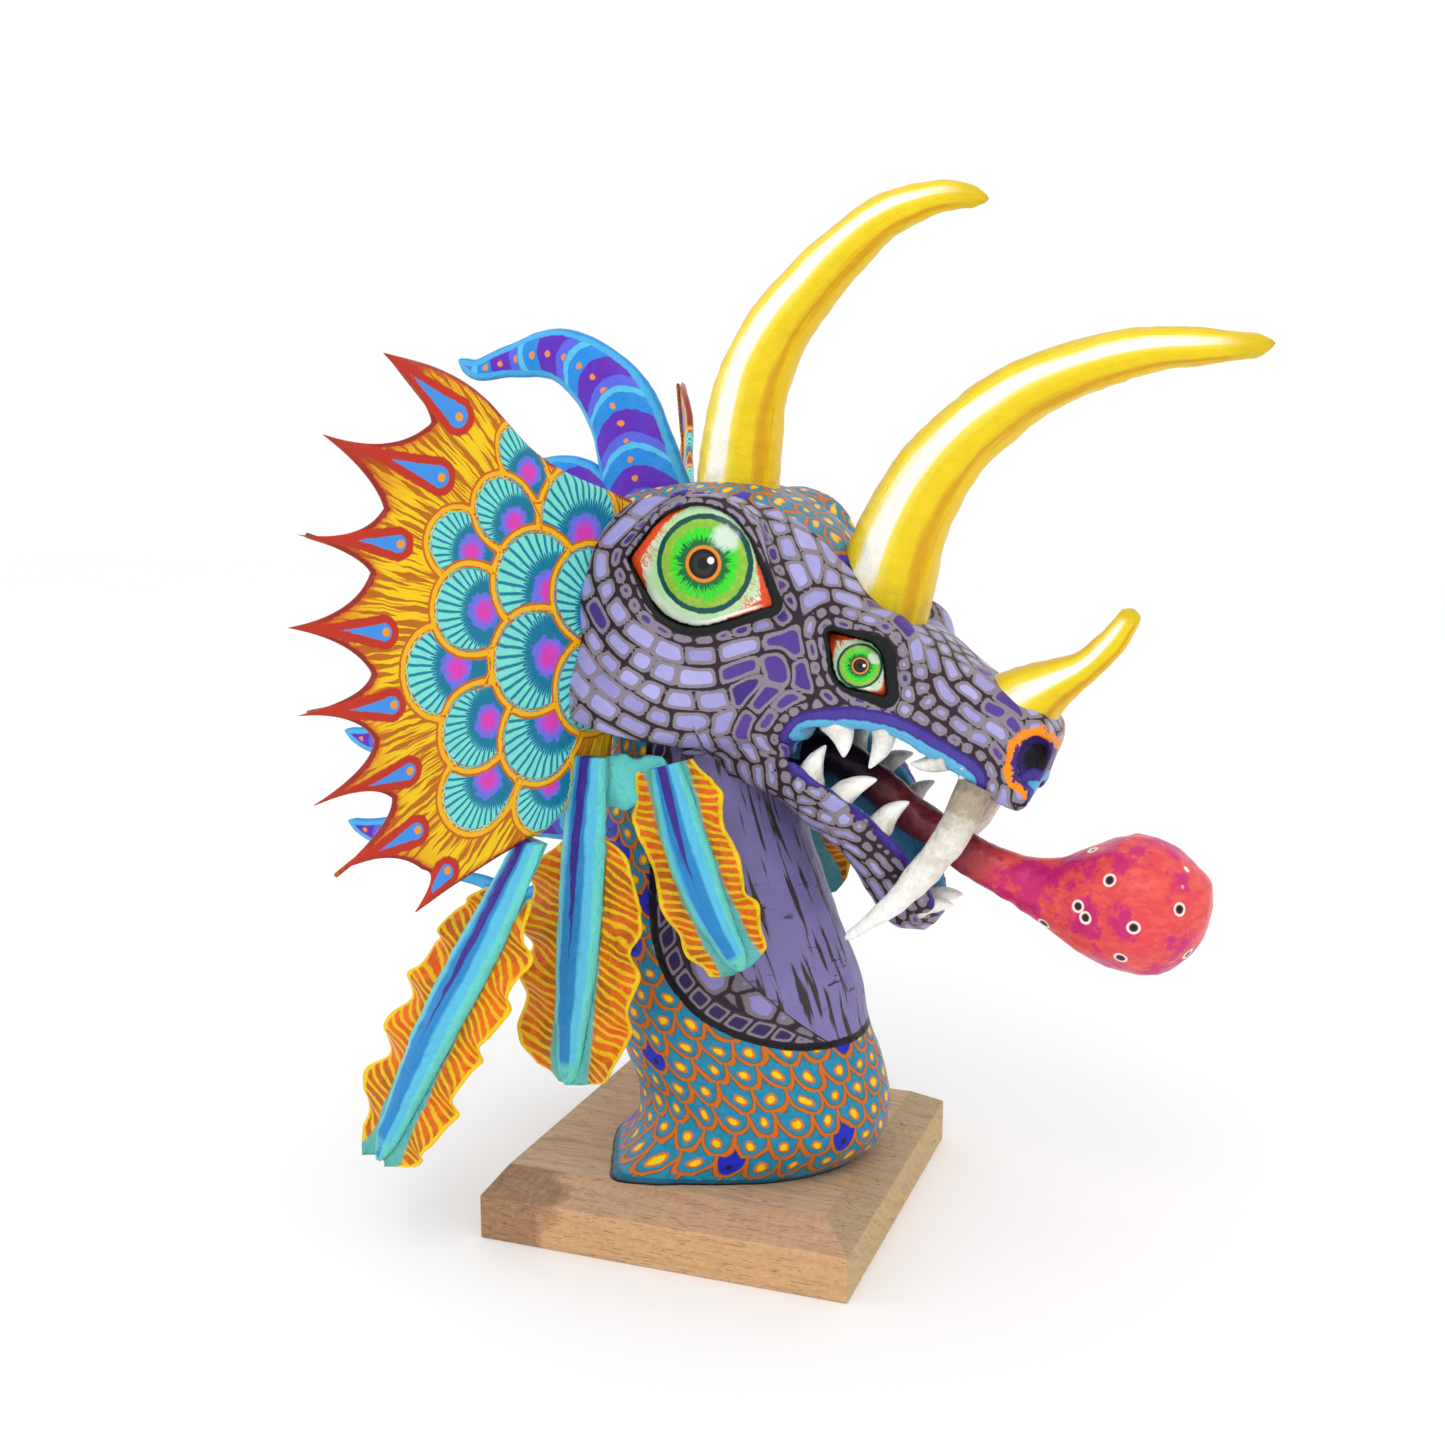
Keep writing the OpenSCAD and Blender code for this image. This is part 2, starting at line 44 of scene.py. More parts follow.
# ------------------------------------------------------------------ colours
def rgb(r, g, b):
    """sRGB bytes to a linear colour."""
    c = np.array([r, g, b]) / 255.0
    lin = np.where(c <= 0.04045, c / 12.92, ((c + 0.055) / 1.055) ** 2.4)
    return (float(lin[0]), float(lin[1]), float(lin[2]), 1.0)

LAVENDER, LAVENDER_PALE = rgb(152, 146, 206), rgb(176, 172, 228)
TAUPE, LINE = rgb(138, 128, 140), rgb(48, 32, 44)
VIOLET_DEEP, VIOLET_MID = rgb(62, 42, 122), rgb(98, 66, 156)
INDIGO, NAVY, RIM_BLUE = rgb(58, 34, 128), rgb(8, 16, 34), rgb(96, 178, 222)
TEAL, TEAL_DARK, DEEP_BLUE = rgb(34, 150, 186), rgb(20, 118, 152), rgb(22, 38, 190)
ORANGE, YELLOW = rgb(222, 110, 14), rgb(246, 204, 22)

# ------------------------------------------------------------------ mesh helpers
def add_mesh(name, verts, faces, attrs=None, smooth=True):
    """New object from points in millimetres and an array (or list) of faces, with point attributes."""
    mesh = bpy.data.meshes.new(name)
    verts = np.asarray(verts, float)
    if isinstance(faces, np.ndarray):
        n, k = faces.shape
        mesh.vertices.add(len(verts))
        mesh.vertices.foreach_set("co", (verts * MM).ravel())
        mesh.loops.add(n * k)
        mesh.loops.foreach_set("vertex_index", faces.astype(np.int32).ravel())
        mesh.polygons.add(n)
        mesh.polygons.foreach_set("loop_start", np.arange(0, n * k, k, dtype=np.int32))
        mesh.update(calc_edges=True)
        mesh.validate()
    else:
        mesh.from_pydata([tuple(v * MM) for v in verts], [], [list(f) for f in faces])
    mesh.polygons.foreach_set("use_smooth", np.full(len(mesh.polygons), smooth))
    put(mesh, "co", verts)
    for key, value in (attrs or {}).items():
        put(mesh, key, value)
    return link(name, mesh)

def link(name, data):
    """New object in the scene."""
    obj = bpy.data.objects.new(name, data)
    bpy.context.scene.collection.objects.link(obj)
    return obj

def on_side(side, verts, faces):
    """A mesh modelled at the right; for the left it is mirrored and its faces are turned round."""
    if side == RIGHT:
        return verts, faces
    turned = faces[:, ::-1] if isinstance(faces, np.ndarray) else [f[::-1] for f in faces]
    return verts * np.array([1, -1, 1]), turned

def put(mesh, key, value):
    """Stores a number or a vector at each vertex."""
    value = np.asarray(value, float)
    kind, field = ("FLOAT", "value") if value.ndim == 1 else ("FLOAT_VECTOR", "vector")
    layer = mesh.attributes.new(key, kind, "POINT")
    layer.data.foreach_set(field, value.ravel().astype(np.float32))

def piece(obj, node, material):
    """Declares a finished piece: it rides on the one body, stands for its node and has its material."""
    obj.data.materials.clear()
    obj.data.materials.append(material)
    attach(obj, "root")
    if node:
        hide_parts(*([node] if isinstance(node, str) else node))
    return obj

def grid_faces(rows, cols, closed=False):
    """Quads of a rows x cols grid of points; closed joins the last column to the first."""
    i, j = np.meshgrid(np.arange(rows - 1), np.arange(cols if closed else cols - 1), indexing="ij")
    k = (j + 1) % cols
    return np.stack([i * cols + j, i * cols + k, (i + 1) * cols + k, (i + 1) * cols + j], -1).reshape(-1, 4)

def spline(points, n):
    """n points spread evenly along a Catmull-Rom curve through the rows of points."""
    P = np.asarray(points, float)
    t = np.linspace(0, len(P) - 1, max(400, n * 6))
    i = np.minimum(t.astype(int), len(P) - 2)
    f = (t - i)[:, None]
    a, b, c, d = P[np.maximum(i - 1, 0)], P[i], P[i + 1], P[np.minimum(i + 2, len(P) - 1)]
    Q = 0.5 * (2 * b + (c - a) * f + (2 * a - 5 * b + 4 * c - d) * f ** 2
               + (3 * b - a - 3 * c + d) * f ** 3)
    dims = min(3, P.shape[1])
    s = np.concatenate([[0], np.cumsum(np.linalg.norm(np.diff(Q[:, :dims], axis=0), axis=1))])
    u = np.linspace(0, s[-1], n)
    return np.stack([np.interp(u, s, Q[:, k]) for k in range(P.shape[1])], 1), u

def unit(v):
    v = np.asarray(v, float)
    return v / np.maximum(np.linalg.norm(v, axis=-1, keepdims=True), 1e-9)

def lumps(co, size, seed):
    """Smooth value noise in about -1..1 at the given points, with features of the given size."""
    rng = np.random.default_rng(seed)
    n = 24
    table = rng.uniform(-1, 1, (n, n, n))
    q = np.asarray(co, float) / size + rng.uniform(0, n, 3)
    i = np.floor(q).astype(int)
    f = q - i
    f = f * f * (3 - 2 * f)
    out = 0
    for dx in (0, 1):
        for dy in (0, 1):
            for dz in (0, 1):
                w = (np.abs(1 - dx - f[..., 0]) * np.abs(1 - dy - f[..., 1]) * np.abs(1 - dz - f[..., 2]))
                out = out + w * table[(i[..., 0] + dx) % n, (i[..., 1] + dy) % n, (i[..., 2] + dz) % n]
    return out

def surface_net(field, lo, hi, step):
    """Quad mesh of the zero surface of field(points), which is negative inside."""
    block = 4
    size = [int(math.ceil((hi[k] - lo[k]) / step / block)) * block + 1 for k in range(3)]
    axes = [lo[k] + step * np.arange(size[k]) for k in range(3)]
    coarse = field(np.stack(np.meshgrid(*[ax[::block] for ax in axes], indexing="ij"), -1))
    near = np.abs(coarse) < 2.2 * block * step
    for k in range(3):                      # the blocks round the surface are worked out finely
        near = near | np.roll(near, 1, k) | np.roll(near, -1, k)
    cut = tuple(slice(0, s) for s in size)
    for k in range(3):
        coarse, near = np.repeat(coarse, block, k), np.repeat(near, block, k)
    F, near = coarse[cut].copy(), near[cut]
    idx = np.argwhere(near)
    F[near] = field(np.array(lo, float) + step * idx)
    shape = np.array(F.shape)
    total = np.zeros(tuple(shape - 1) + (3,))
    count = np.zeros(tuple(shape - 1))
    base = np.stack(np.meshgrid(*[np.arange(s) for s in shape], indexing="ij"), -1).astype(float)
    quads = []
    crossings = []
    for axis in range(3):
        a = tuple(slice(0, -1) if k == axis else slice(None) for k in range(3))
        b = tuple(slice(1, None) if k == axis else slice(None) for k in range(3))
        Fa, Fb = F[a], F[b]
        cross = (Fa < 0) != (Fb < 0)
        t = np.where(cross, Fa / np.where(cross, Fa - Fb, 1), 0)
        pos = base[a].copy()
        pos[..., axis] += t
        crossings.append((cross, Fa < 0))
        o1, o2 = [k for k in range(3) if k != axis]
        for d1 in (0, 1):
            for d2 in (0, 1):
                sl = [slice(None)] * 3
                sl[o1] = slice(d1, shape[o1] - 1 + d1)
                sl[o2] = slice(d2, shape[o2] - 1 + d2)
                sl = tuple(sl)
                m = cross[sl]
                count += m
                total += np.where(m[..., None], pos[sl], 0)
    live = count > 0
    ids = np.full(live.shape, -1)
    ids[live] = np.arange(live.sum())
    verts = total[live] / count[live][:, None] * step + np.array(lo, float)
    for axis in range(3):
        cross, inside = crossings[axis]
        o1, o2 = [k for k in range(3) if k != axis]
        sl = [slice(None)] * 3
        sl[o1], sl[o2] = slice(1, -1), slice(1, -1)
        idx = np.argwhere(cross[tuple(sl)])
        idx[:, o1] += 1
        idx[:, o2] += 1
        e1, e2 = np.eye(3, dtype=int)[o1], np.eye(3, dtype=int)[o2]
        q = [idx, idx - e1, idx - e1 - e2, idx - e2]
        q = np.stack([ids[tuple(v.T)] for v in q], 1)
        flip = inside[tuple(idx.T)] == (axis == 1)
        q[~flip] = q[~flip][:, ::-1]
        quads.append(q)
    return verts, np.concatenate(quads)

def smooth_min(a, b, k):
    h = np.clip(0.5 + 0.5 * (b - a) / k, 0, 1)
    return b * (1 - h) + a * h - k * h * (1 - h)

def smooth_max(a, b, k):
    return -smooth_min(-a, -b, k)

def ball(p, centre, radius):
    return np.linalg.norm(p - np.array(centre, float), axis=-1) - radius

def egg(p, centre, radii):
    """Rough distance to an ellipsoid."""
    r = np.array(radii, float)
    q = (p - np.array(centre, float)) / r
    k = np.linalg.norm(q, axis=-1)
    return (k - 1) * r.min() * np.clip(k, 0.6, 1.6) ** 0.2

def mirrored(p):
    """The same points folded to the figure's right side."""
    q = p.copy()
    q[..., 1] = -np.abs(q[..., 1])
    return q

# ------------------------------------------------------------------ head shape (mm)
# Skull and upper jaw: place along X, underside, top, half width.
SKULL = np.array([
    (-68, 268, 314, 26), (-64, 250, 330, 48), (-56, 238, 341, 62), (-40, 230, 349, 72),
    (-16, 227, 353, 76), (10, 228, 354, 75), (32, 232, 347, 69), (52, 238, 334, 59),
    (70, 243.5, 312, 50), (88, 241, 294, 43), (106, 232.5, 285, 38), (124, 221, 271, 34),
    (140, 211.5, 261, 30), (152, 209, 254, 26), (160, 213, 246, 18), (165, 221, 238, 9)], float)
JAW_ROOT = np.array([30.0, 0, 222])
JAW_TILT = math.radians(47)
JAW_DIR = np.array([math.cos(JAW_TILT), 0, -math.sin(JAW_TILT)])
JAW_UP = np.array([math.sin(JAW_TILT), 0, math.cos(JAW_TILT)])
# Lower jaw along its own axis: distance, underside, lip height, half width.
JAW = np.array([
    (-22, -20, 16, 56), (-10, -18, 19, 54), (0, -13, 20, 50), (14, -7, 20, 47), (30, -3, 22, 43),
                (46, -1, 24.5, 38),
    (60, -2, 25, 32), (74, -6, 23, 26), (86, -8, 19, 20), (96, -6, 15, 15), (104, 1, 9, 8)], float)
# Eyes: ball and its radius, middle of the opening, where it faces, tilt of its long axis, half widths
# above and below that axis, reach of the corner in front and behind, middle and radius of the iris.
BIG_EYE = dict(ball=(14, -20, 318), radius=58, centre=(13.6, -77, 318.7), face=(0.22, -0.97, 0.05),
               tilt=25.5, open=26.4, front=37.3, back=32.5, bend=22, iris=(17.3, -78, 319.8), iris_r=20.8)
SMALL_EYE = dict(ball=(74, -24, 273), radius=24, centre=(77.8, -46, 275.3), face=(0.36, -0.92, 0.14),
                 tilt=45, open=10.9, front=18.9, back=18.9, bend=0, iris=(78.6, -46, 274.6), iris_r=9.6)
NOSTRIL, NOSTRIL_SIZE = (152, -22, 232), (9, 9, 12)
CLUSTER = (49, -57, 257)           # middle of the large violet cells
EYE_SPOT = (60.0, -59.0, 281.0)    # dark spot between the two eyes

def along(x, table, column):
    """Smooth value of one column of a table at the places x of its first column."""
    rows, _ = spline(table, 200)
    order = np.argsort(rows[:, 0])
    return np.interp(x, rows[order, 0], rows[order, column])

def eye_frame(e):
    """Right-handed frame on an eye's face: along the lids, across them, outwards."""
    n = unit(e["face"])
    tilt = math.radians(e["tilt"])
    p = np.array([math.cos(tilt), 0, -math.sin(tilt)])
    p = unit(p - n * (p @ n))
    return p, np.cross(n, p) * -1, n

def drawn_out(a, b, radius, reach):
    """Distance to a circle drawn out to a corner at the given reach along +a."""
    tip = 1.2
    slope = (radius - tip) / (reach - tip)
    side = math.sqrt(1 - slope * slope)
    b = np.abs(b)
    k = a * side - b * slope
    flat = b * side + a * slope - radius
    return np.where(k < 0, np.hypot(a, b) - radius,
                    np.where(k > side * (reach - tip), np.hypot(a - reach + tip, b) - tip, flat))

def lids(q, e):
    """Signed distance to the opening between the lids in the eye's plane, and the place in that plane."""
    pa, qa, n = eye_frame(e)
    v = q - np.array(e["centre"], float)
    a, b = v @ pa, v @ qa
    c, s = math.cos(math.radians(e["bend"])), math.sin(math.radians(e["bend"]))
    d = np.minimum(drawn_out(a, b, e["open"], e["front"]), drawn_out(b * s - a * c, a * s + b * c, e["open"],
                                                                     e["back"]))
    return d, a, b, v @ n

def skull_field(p):
    x, y, z = p[..., 0], np.abs(p[..., 1]), p[..., 2]
    low, top, half = (along(x, SKULL, k) for k in (1, 2, 3))
    mid, tall = (low + top) / 2, (top - low) / 2
    square = np.where(z < mid, np.interp(x, [-40, 30, 62], [0.66, 0.62, 0.25]), 0.8)
    r = ((y / half) ** (2 / square) + (np.abs(z - mid) / tall) ** (2 / square)) ** (square / 2)
    f = (r - 1) * np.minimum(half, tall)
    return np.maximum(f, np.maximum(SKULL[0, 0] - x, x - SKULL[-1, 0]))

def jaw_coordinates(p):
    v = p - JAW_ROOT
    return v @ JAW_DIR, v @ JAW_UP, np.abs(p[..., 1])

def jaw_field(p, left=0.0):
    """Outside of the lower jaw, and the trough inside it; the left lip stands a little higher."""
    s, h, y = jaw_coordinates(p)
    low, lip, half = (along(s, JAW, k) for k in (1, 2, 3))
    lip = lip + left * 7 * np.clip((78 - s) / 40, 0, 1)
    low = low - 3 * (1 - np.clip(y / half, 0, 1) ** 2)
    def bowl(wide, floor):
        return (np.abs(y / wide) ** 3 + (np.clip(lip - h, 0, None) / (lip - floor)) ** 3) ** (1 / 3)
    outer = np.maximum((bowl(half, low) - 1) * np.minimum(half, 16), h - lip)
    outer = np.maximum(outer, np.maximum(JAW[0, 0] - s, s - JAW[-1, 0]))
    trough = (bowl(np.maximum(half - 5.5, 2), np.minimum(low + 7, lip - 1)) - 1) * np.minimum(half, 14)
    trough = np.maximum(trough, s - (JAW[-1, 0] - 6))
    return outer, trough

def lumpy_skull(q):
    f = skull_field(q)
    f = smooth_min(f, egg(q, (-26, -52, 256), (42, 30, 27)), 12)        # cheek
    f = smooth_min(f, egg(q, (82, -36, 284), (20, 14, 15)), 9)          # brow over the small eye
    f = smooth_min(f, egg(q, (150, -17, 236), (11, 9, 14)), 6)         # nostril wing
    snout_end = (q[..., 0] - 162 + 0.38 * (244 - q[..., 2])) * 0.93
    f = smooth_max(f, snout_end, 6)
    for e in (BIG_EYE, SMALL_EYE):
        d, _, _, out = lids(q, e)
        rim = 4.5 if e is BIG_EYE else 3
        shell = np.maximum(ball(q, e["ball"], e["radius"] + rim * 0.55), np.maximum(d - rim, -out - 30))
        f = smooth_min(f, shell, 5)
    return f

def on_left(p):
    return np.clip(p[..., 1] / 15, 0, 1)

def roof_room(q, left=0.0):
    """Open space under the palate."""
    x, y, z = q[..., 0], -q[..., 1], q[..., 2]
    low, half = along(x, SKULL, 1), along(x, SKULL, 3)
    roof = smooth_max(z - (low + 10 - 5 * (y / half) ** 2), y - (half - 4.5), 4)
    return np.maximum(roof, np.maximum(53 + 6 * left - x, x - 157))

def throat_room(q):
    return egg(q, (58, 0, 225), (32, 38, 22))

def outer_skin(p):
    """Skull and jaw together, before the mouth and the sockets are opened."""
    q = mirrored(p)
    return smooth_min(lumpy_skull(q), jaw_field(q, on_left(p))[0], 7)

def lip_distance(p, tree=[]):
    """Distance from the edge of the open mouth, longer on the lower jaw and 3.2 mm less on the skull."""
    if not tree:
        v, _ = surface_net(head_field, (36, -64, 134), (150, 64, 260), 1.8)
        depth = -outer_skin(v)
        q = mirrored(v)
        edge = (depth > 0.8) & (depth < 2.2) & (mouth_room(v) < 2.5) & (lids(q, SMALL_EYE)[0] > 2) & (
            egg(q, NOSTRIL, NOSTRIL_SIZE) > 3)
        tree.append(KDTree(int(edge.sum())))
        for i, co in enumerate(v[edge]):
            tree[0].insert(co, i)
        tree[0].balance()
    flat = p.reshape(-1, 3)
    out = np.full(len(flat), 60.0)
    for i in np.flatnonzero(flat[:, 0] > 10):
        out[i] = tree[0].find(flat[i])[2]
    below = seam(p)
    return out.reshape(p.shape[:-1]) * (1 + 0.35 * np.clip(below / 8, 0, 1)) - 3.2 * np.clip(-below / 8, 0, 1)

def mouth_room(p):
    """Distance to the open space of the mouth, negative inside it."""
    q = mirrored(p)
    _, trough = jaw_field(q, on_left(p))
    wedge = np.maximum(roof_room(q, on_left(p)), trough)
    return smooth_min(wedge, throat_room(q), 4)

def head_field(p):
    q = mirrored(p)
    outer, trough = jaw_field(q, on_left(p))
    s = jaw_coordinates(q)[0]
    skull = smooth_max(lumpy_skull(q), -roof_room(q, on_left(p)), 2.2)
    jaw = smooth_max(outer, -np.maximum(trough, 4 - s), 2.2)
    f = smooth_min(skull, jaw, 5)
    f = smooth_max(f, -throat_room(q), 3)
    for e in (BIG_EYE, SMALL_EYE):
        d, _, _, out = lids(q, e)
        carve = np.maximum(d, -(ball(q, e["ball"], e["radius"] - 1.6)))
        carve = np.maximum(carve, -out - 30)
        f = smooth_max(f, -carve, 1.2)
    return smooth_max(f, -egg(q, NOSTRIL, NOSTRIL_SIZE), 2.5)

def seam(p):
    """Paste line between the skull and the lower jaw: positive on the jaw's side."""
    return (231 - 0.25 * (p[..., 0] - 48)) - p[..., 2] - 6 * np.clip((30 - p[..., 0]) / 30, 0, 1)

def gradient(field, v, h=0.8):
    return np.stack([(field(v + d) - field(v - d)) / (2 * h) for d in np.eye(3) * h], 1)

def cell_rows(v):
    """Row number of the painted cells: level lines run round the eyes and along the lips."""
    q = mirrored(v)
    big = lids(q, BIG_EYE)[0] - 3.4
    small = lids(q, SMALL_EYE)[0] - 4.6
    lip = (lip_distance(v) - 6.4) * 1.1
    d = smooth_min(smooth_min(big, small, 7), lip, 9) + lumps(v, 40,
                                                              3) * 3.4 * np.clip(lip / 12, 0, 1) * np.clip(
        big / 8, 0, 1) + lumps(v, 12, 4) * 0.7
    tall = np.interp(v[..., 0], [20, 95], [9.4, 7.2])
    return np.where(d < 5.4, d / 5.4, 1 + (d - 5.4) / tall)

def bricks(v, rows, spacing, seed, share_at):
    """Cuts every row of cells into bricks: distance to the nearest cut, a random tone, if it is violet."""
    rng = np.random.default_rng(seed)
    row = np.floor(rows).astype(int)
    cut, tone, share = np.full(len(v), 99.0), np.zeros(len(v)), np.zeros(len(v))
    for k in np.unique(row):
        member = np.flatnonzero(row == k)
        mid = member[np.abs(rows[member] - k - 0.5) < 0.2]
        free = v[rng.permutation(mid if len(mid) else member)]
        seeds = []
        while len(free):
            seeds.append(free[0])
            reach = spacing(free[0], k) * rng.uniform(0.75, 1.35)
            free = free[np.linalg.norm(free - free[0], axis=1) > reach]
        S = np.array(seeds)
        tones = rng.uniform(0, 1, len(S))
        if len(S) < 2:
            tone[member] = tones[0]
            continue
        violet = (share_at(S) > rng.uniform(0, 1, len(S))).astype(float)
        d = np.linalg.norm(v[member][:, None] - S[None], axis=2)
        two = np.argpartition(d, 1, axis=1)[:, :2]
        d2 = np.take_along_axis(d, two, 1)
        two = np.take_along_axis(two, np.argsort(d2, 1), 1)
        d2 = np.sort(d2, 1)
        gap = np.linalg.norm(S[two[:, 0]] - S[two[:, 1]], axis=1)
        cut[member] = (d2[:, 1] ** 2 - d2[:, 0] ** 2) / (2 * gap)
        tone[member] = tones[two[:, 0]]
        share[member] = violet[two[:, 0]]
    return cut, tone, share

def head_spacing(p, row):
    """Length of a painted cell: short in the first row round an eye or lip and on the muzzle."""
    return 5.8 if row <= 0 else float(np.interp(p[0], [10, 95], [11.0, 8.0]))

def violet_share(p):
    """How many of the cells near a place are violet: in front of the cheek, over the lip and on the snout."""
    q = mirrored(p)
    small = lids(q, SMALL_EYE)[0]
    lip = lip_distance(p)
    near = lambda at, size: np.exp(-(((q - np.array(at)) / size) ** 2).sum(1))
    over_lip = (lip < 12) & (q[:, 2] > 236 - 0.5 * (q[:, 0] - 84).clip(0)) & (q[:, 0] > 55) & (q[:, 0] < 96)
    return np.maximum.reduce([1.45 * near(CLUSTER, 26.0), 1.1 * near((138, -18, 252), 13.0), 0.85 * over_lip,
                              0.85 * (small < 9), np.where(q[:, 2] + q[:, 0] * 0.6 < 352, 0.85, 0.2)
                              * (lids(q, BIG_EYE)[0] < 9),
                              np.full(len(q), 0.03)])

def paint_fields(v):
    """Numbers that steer the paint of the head."""
    q = mirrored(v)
    eb, pb, qb, _ = lids(q, BIG_EYE)
    es, ps, qs, _ = lids(q, SMALL_EYE)
    skin = outer_skin(v)
    room = mouth_room(v)
    rows = cell_rows(v)
    n = unit(gradient(head_field, v))
    g = gradient(cell_rows, v)
    g = g - (g * n).sum(1, keepdims=True) * n
    g2 = np.maximum((g * g).sum(1), 0.006)
    cut, tone, violet = bricks(v, rows, head_spacing, 5, violet_share)
    nose = np.linalg.norm((q - np.array(NOSTRIL, float)) / np.array(NOSTRIL_SIZE) * np.array([1, 0.35, 1]),
                          axis=1)
    inside = np.clip((-skin - 0.9) / 0.8, 0, 1) * (eb > 2) * (es > 2) * (nose > 1.25) * (room < 2.5)
    w = np.interp(v[:, 0], [-68, -40, 20, 60, 85, 95], [30, 42, 38, 24, 6, -8])
    w = w + np.where(v[:, 1] > 0, np.interp(v[:, 0], [10, 60], [0, 22]), 0)
    crown = np.maximum(np.minimum(w - np.abs(v[:, 1]), v[:, 2] - 300), -48 - v[:, 0])
    crown = np.maximum(crown, np.minimum(np.minimum(v[:, 1] - 20, v[:, 2] - 322), eb - 4))
    return dict(eye_big=eb, eye_small=es, lip=lip_distance(v), inner=-skin, inside=inside,
                nostril=nose, violet=violet, crown=crown, rows=rows, row_tall=1 / np.sqrt(g2), cut=cut,
                tone=tone,
                lid_width=1.7 + 2.0 * np.clip((pb + qb) / 30, -0.4, 1.1),
                lid_width_small=3.6 + 1.4 * np.clip((ps - qs) / 14, -0.6, 1.2))

def build_head(material):
    step = 1.35
    for node, side, lo, hi in (("head", 1, (-76, -92, 198), (176, 92, 366)),
                               ("lower_jaw", -1, (0, -62, 132), (126, 62, 240))):
        def part(p, side=side):
            f = head_field(p) + 0.5 * lumps(p, 9, 1) + 0.7 * lumps(p, 22, 2)
            return np.maximum(f, side * seam(p) - 0.9)
        v, quads = surface_net(part, lo, hi, step)
        obj = add_mesh(node + "_shell", v, quads, paint_fields(v))
        piece(obj, node, material)

# ------------------------------------------------------------------ paint (shader) helpers
class Num:
    """A value inside a shader: arithmetic on it adds Math nodes."""
    def __init__(self, tree, socket):
        self.tree, self.socket = tree, socket

    def math(self, kind, *others, clamp=False):
        node = self.tree.nodes.new("ShaderNodeMath")
        node.operation, node.use_clamp = kind, clamp
        for k, value in enumerate((self,) + others):
            plug(self.tree, node.inputs[k], value)
        return Num(self.tree, node.outputs[0])

    def __add__(self, o): return self.math("ADD", o)
    def __sub__(self, o): return self.math("SUBTRACT", o)
    def __mul__(self, o): return self.math("MULTIPLY", o)
    def __truediv__(self, o): return self.math("DIVIDE", o)
    def __rsub__(self, o): return self.math("MULTIPLY_ADD", -1.0, o)
    __radd__, __rmul__ = __add__, __mul__
    def floor(self): return self.math("FLOOR")
    def fract(self): return self.math("FRACT")
    def abs(self): return self.math("ABSOLUTE")
    def least(self, o): return self.math("MINIMUM", o)
    def most(self, o): return self.math("MAXIMUM", o)
    def power(self, o): return self.math("POWER", o)
    def sin(self): return self.math("SINE")
    def hypot(self, o): return (self * self + o * o).math("SQRT")
    def clamp(self): return self.math("ADD", 0.0, clamp=True)

    def over(self, at, soft=0.25):
        """1 where the value is above the given one, with a soft step."""
        if isinstance(at, Num):
            return (self - at).math("MULTIPLY_ADD", 1 / soft, 0.5, clamp=True)
        return self.math("MULTIPLY_ADD", 1 / soft, 0.5 - at / soft, clamp=True)

    def under(self, at, soft=0.25): return 1 - self.over(at, soft)
    def within(self, a, b, soft=0.25): return self.over(a, soft) * self.under(b, soft)

def plug(tree, socket, value):
    if isinstance(value, Num):
        tree.links.new(value.socket, socket)
    elif socket.type == "VECTOR" and isinstance(value, tuple):
        socket.default_value = value[:3]
    else:
        socket.default_value = value

